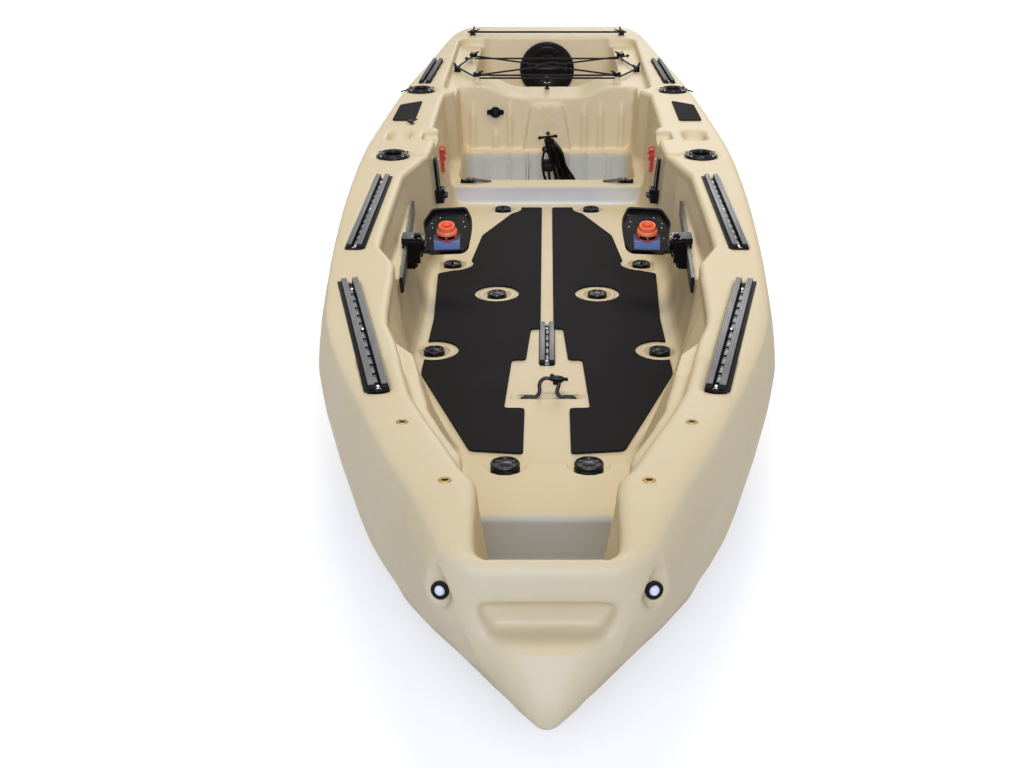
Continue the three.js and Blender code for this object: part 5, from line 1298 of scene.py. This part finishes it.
# Each hook: its place, the foot's radius below, above and height, the block's size and shift, and its
# bars, each with start, end, radius, sides and tip
STERN_HOOK = (
    (0.2703, 1.6935, DECK), (0.0118, 0.0108, 0.0045), (0.018, 0.015, 0.017), (0.001, 0, 0.0105),
    (
        ((-0.002, 0.004, 0.015), (-0.006, 0.009, 0.031), 0.0044, 14, 0.0022),
        ((-0.004, -0.004, 0.01), (-0.024, -0.006, 0.015), 0.0034, 12, 0.0018),
        ((-0.004, 0.005, 0.013), (-0.025, 0.01, 0.019), 0.0034, 12, 0.0016),
    ),
)
CARGO_HOOK = (
    (0.296, 1.19, SURROUND), (0.0125, 0.0115, 0.005), (0.02, 0.017, 0.016), (0, 0, 0.012),
    (
        ((0.004, 0, 0.016), (0.01, 0.004, 0.028), 0.005, 14, 0.0032),
        ((-0.004, 0, 0.015), (-0.013, -0.004, 0.023), 0.0036, 12, 0.0022),
    ),
)
CORD_GUIDES = (("front", 0.223, 1.04, -1), ("back", 0.251, 1.36, 1))
SLEEVE = ((0.0, 0.017), (0.0128, 0.017), (0.0134, 0.019), (0.0132, 0.027), (0.011, 0.0292), (0.0, 0.0292))
LATCH_Y = 1.0897
LATCH_HEAD = (
    (0.0, 0.344), (0.007, 0.344), (0.0074, 0.36), (0.0094, 0.364), (0.0094, 0.37), (0.007, 0.3728),
    (0.0, 0.3732),
)


def cord_hook(name, word, side, form):
    """A hook's moulding in the place of its CAD node."""
    seat, (foot, foot_top, foot_tall), size, shift, horns = form
    seat = Vector(seat)
    bm = bmesh.new()
    drum(bm, foot, foot_tall, seat, sides=24, top=foot_top)
    box(bm, size, seat + Vector(shift), round_by=0.004)
    for start, end, radius, sides, tip in horns:
        bar(bm, seat + Vector(start), seat + Vector(end), radius, sides, tip)
    settle(bm, side=side)
    made = piece("%s_moulding_%s" % (name, word), bm, GLOSS)
    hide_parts("%s_%s" % (name, word))


def stern_fittings():
    for word, side in SIDES:
        cord_hook("stern_hook", word, side, STERN_HOOK)
        cord_hook("cargo_hook", word, side, CARGO_HOOK)
        for where, x, y, way in CORD_GUIDES:
            seat = Vector((x, y, SURROUND))
            sleeve = bmesh.new()
            turned(sleeve, SLEEVE, seat, steps=28)
            for start, end, radius, tip in (
                ((-0.004, 0, 0.026), (-0.019, way * 0.003, 0.033), 0.0044, 0.0026),
                ((0.002, way * 0.004, 0.025), (0.006, way * 0.016, 0.03), 0.004, 0.0024),
            ):
                bar(sleeve, seat + Vector(start), seat + Vector(end), radius, 12, tip)
            settle(sleeve, side=side)
            piece("cargo_guide_%s_%s" % (where, word), sleeve, GLOSS)
    # Painted highlight: a steel band on the black latch head stands for the glints on it
    band = bmesh.new()
    ring(band, 0.0078, 0.0014, (0, LATCH_Y, 0.356), sides=24)
    piece("latch_glint_band", band, STEEL)
    head = bmesh.new()
    turned(head, LATCH_HEAD, (0, LATCH_Y, 0), steps=24)
    piece("latch_head", head, GLOSS)


# Hatch: a bead and screws on the frame, ribs and a grip bar on the lid

HATCH = Vector((0, 1.64838, 0.285))
HATCH_OUT = Vector((0, -0.99812, 0.06129))
HATCH_UP = Vector((0, 0.06129, 0.99812))
BEAD_RADIUS, BEAD_THICK, BEAD_OUT = 0.0935, 0.003, 0.0112
HATCH_SCREWS, HATCH_SCREW, SCREW_CIRCLE, SCREW_OUT = 8, 0.003, 0.0885, 0.0118
LID_RINGS = ((0.0785, 0.0026, 72), (0.051, 0.0022, 56))
LID_RING_OUT = 0.0172
SPOKES, SPOKE_MIDDLE, SPOKE_OUT = 24, 0.065, 0.0184
SPOKE = (0.021, 0.0024, 0.0022)
GRIP_BAR = (0.09, 0.018, 0.0085)


def hatch_fittings():
    across = Vector((1, 0, 0))
    outward = turn_to(HATCH_OUT)
    bead = bmesh.new()
    ring(bead, BEAD_RADIUS, BEAD_THICK, HATCH + HATCH_OUT * BEAD_OUT, HATCH_OUT, 72)
    for x, up, _ in around(HATCH_SCREWS, SCREW_CIRCLE, 0, 22.5):
        screw(bead, HATCH_SCREW, HATCH + across * x + HATCH_UP * up + HATCH_OUT * SCREW_OUT, HATCH_OUT)
    piece("hatch_frame_bead", bead, GLOSS)
    lid = bmesh.new()
    for radius, thick, sides in LID_RINGS:
        ring(lid, radius, thick, HATCH + HATCH_OUT * LID_RING_OUT, HATCH_OUT, sides)
    for number in range(SPOKES):
        spoke = outward @ about("Z", number * 360 / SPOKES)
        middle = HATCH + HATCH_OUT * SPOKE_OUT + spoke @ (across * SPOKE_MIDDLE)
        box(lid, SPOKE, middle, spoke, 0.0008)
    box(lid, GRIP_BAR, HATCH + HATCH_OUT * 0.016, outward, 0.0035)
    for x in (-0.03, 0.03):
        drum(lid, 0.011, 0.004, HATCH + across * x + HATCH_OUT * 0.0098, HATCH_OUT, 24, 0.0095)
    piece("hatch_lid_ribs", lid, GLOSS, "hatch_lid")


# Drain plug: rings around the plug and on its two ears, and a grip bar

DRAIN = Vector((-0.16309, 0.94958, 0.292))
DRAIN_OUT = Vector((0, -0.99333, 0.1153))
DRAIN_EAR = 0.0215


def drain_fittings():
    bm = bmesh.new()
    ring(bm, 0.015, 0.002, DRAIN + DRAIN_OUT * 0.0075, DRAIN_OUT, 36)
    ring(bm, 0.0082, 0.002, DRAIN + DRAIN_OUT * 0.0152, DRAIN_OUT, 28)
    for x in (-DRAIN_EAR, DRAIN_EAR):
        ring(bm, 0.0042, 0.0015, DRAIN + Vector((x, 0, 0)) + DRAIN_OUT * 0.0078, DRAIN_OUT, 20)
    box(bm, (0.015, 0.0036, 0.0036), DRAIN + DRAIN_OUT * 0.016, turn_to(DRAIN_OUT), 0.001)
    piece("drain_plug_rings", bm, GLOSS, "drain_plug")


# The cord loop of the cockpit floor: the cord, its keeper, and the grommets where it ends

FLOOR_LOOP_Y, FLOOR_LOOP_BACK = -0.7735, 0.018
FLOOR_LOOP_LOW, FLOOR_LOOP_TALL = 0.118, 0.032

# Place across and share of the height along the loop
FLOOR_LOOP = (
    (-0.053, 0.0), (-0.036, 0.02), (-0.0215, 0.03), (-0.0155, 0.25), (-0.0145, 0.75), (-0.006, 1.0),
    (0.008, 1.0), (0.023, 0.96), (0.0235, 0.62), (0.0205, 0.28), (0.026, 0.03), (0.04, 0.02), (0.059, 0.0),
)
KEEPER = ((0.0, -0.016), (0.005, -0.015), (0.0072, -0.006), (0.0078, 0.004), (0.0066, 0.012), (0.0, 0.015))
KEEPER_BALL = ((0.0, -0.004), (0.0034, -0.0026), (0.0042, 0.0), (0.003, 0.0028), (0.0, 0.004))
GROMMETS = (-0.054, 0.06)


def floor_loop():
    route = [
        (x, FLOOR_LOOP_Y + FLOOR_LOOP_BACK * rise, FLOOR_LOOP_LOW + FLOOR_LOOP_TALL * rise)
        for x, rise in FLOOR_LOOP
    ]
    made = cable("floor_loop_cord", [route], 0.004, GLOSS)
    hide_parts("floor_bungee")
    keeper = bmesh.new()
    y = FLOOR_LOOP_Y + FLOOR_LOOP_BACK
    turned(keeper, KEEPER, (0.02, y - 0.001, 0.15), (1, 0, -0.12), 24)
    bar(keeper, (0.03, y, 0.149), (0.042, y + 0.001, 0.148), 0.0042, 14, 0.0036)
    turned(keeper, KEEPER_BALL, (0.01, y, 0.1575), steps=16)
    box(keeper, (0.013, 0.01, 0.012), (0.018, y - 0.003, 0.144), round_by=0.003)
    piece("floor_loop_keeper", keeper, GLOSS)
    ends = bmesh.new()
    for x in GROMMETS:
        ring(ends, 0.0048, 0.0013, (x, FLOOR_LOOP_Y, 0.1208), sides=24)
    piece("floor_loop_grommets", ends, GROMMET)


set_camera()
set_light()
set_floor()
finish_cad_nodes()
hull_form = moulded_hull()
well_ribs()
harness()
floor_loop()
gear_tracks()
rounded_fittings()
rod_holders()
scupper_plugs()
deck_inserts()
foam_pads()
crossbeam_straps()
seat_fittings()
pull_straps()
pedal_fittings()
foot_brace_fittings()
stern_fittings()
hatch_fittings()
drain_fittings()
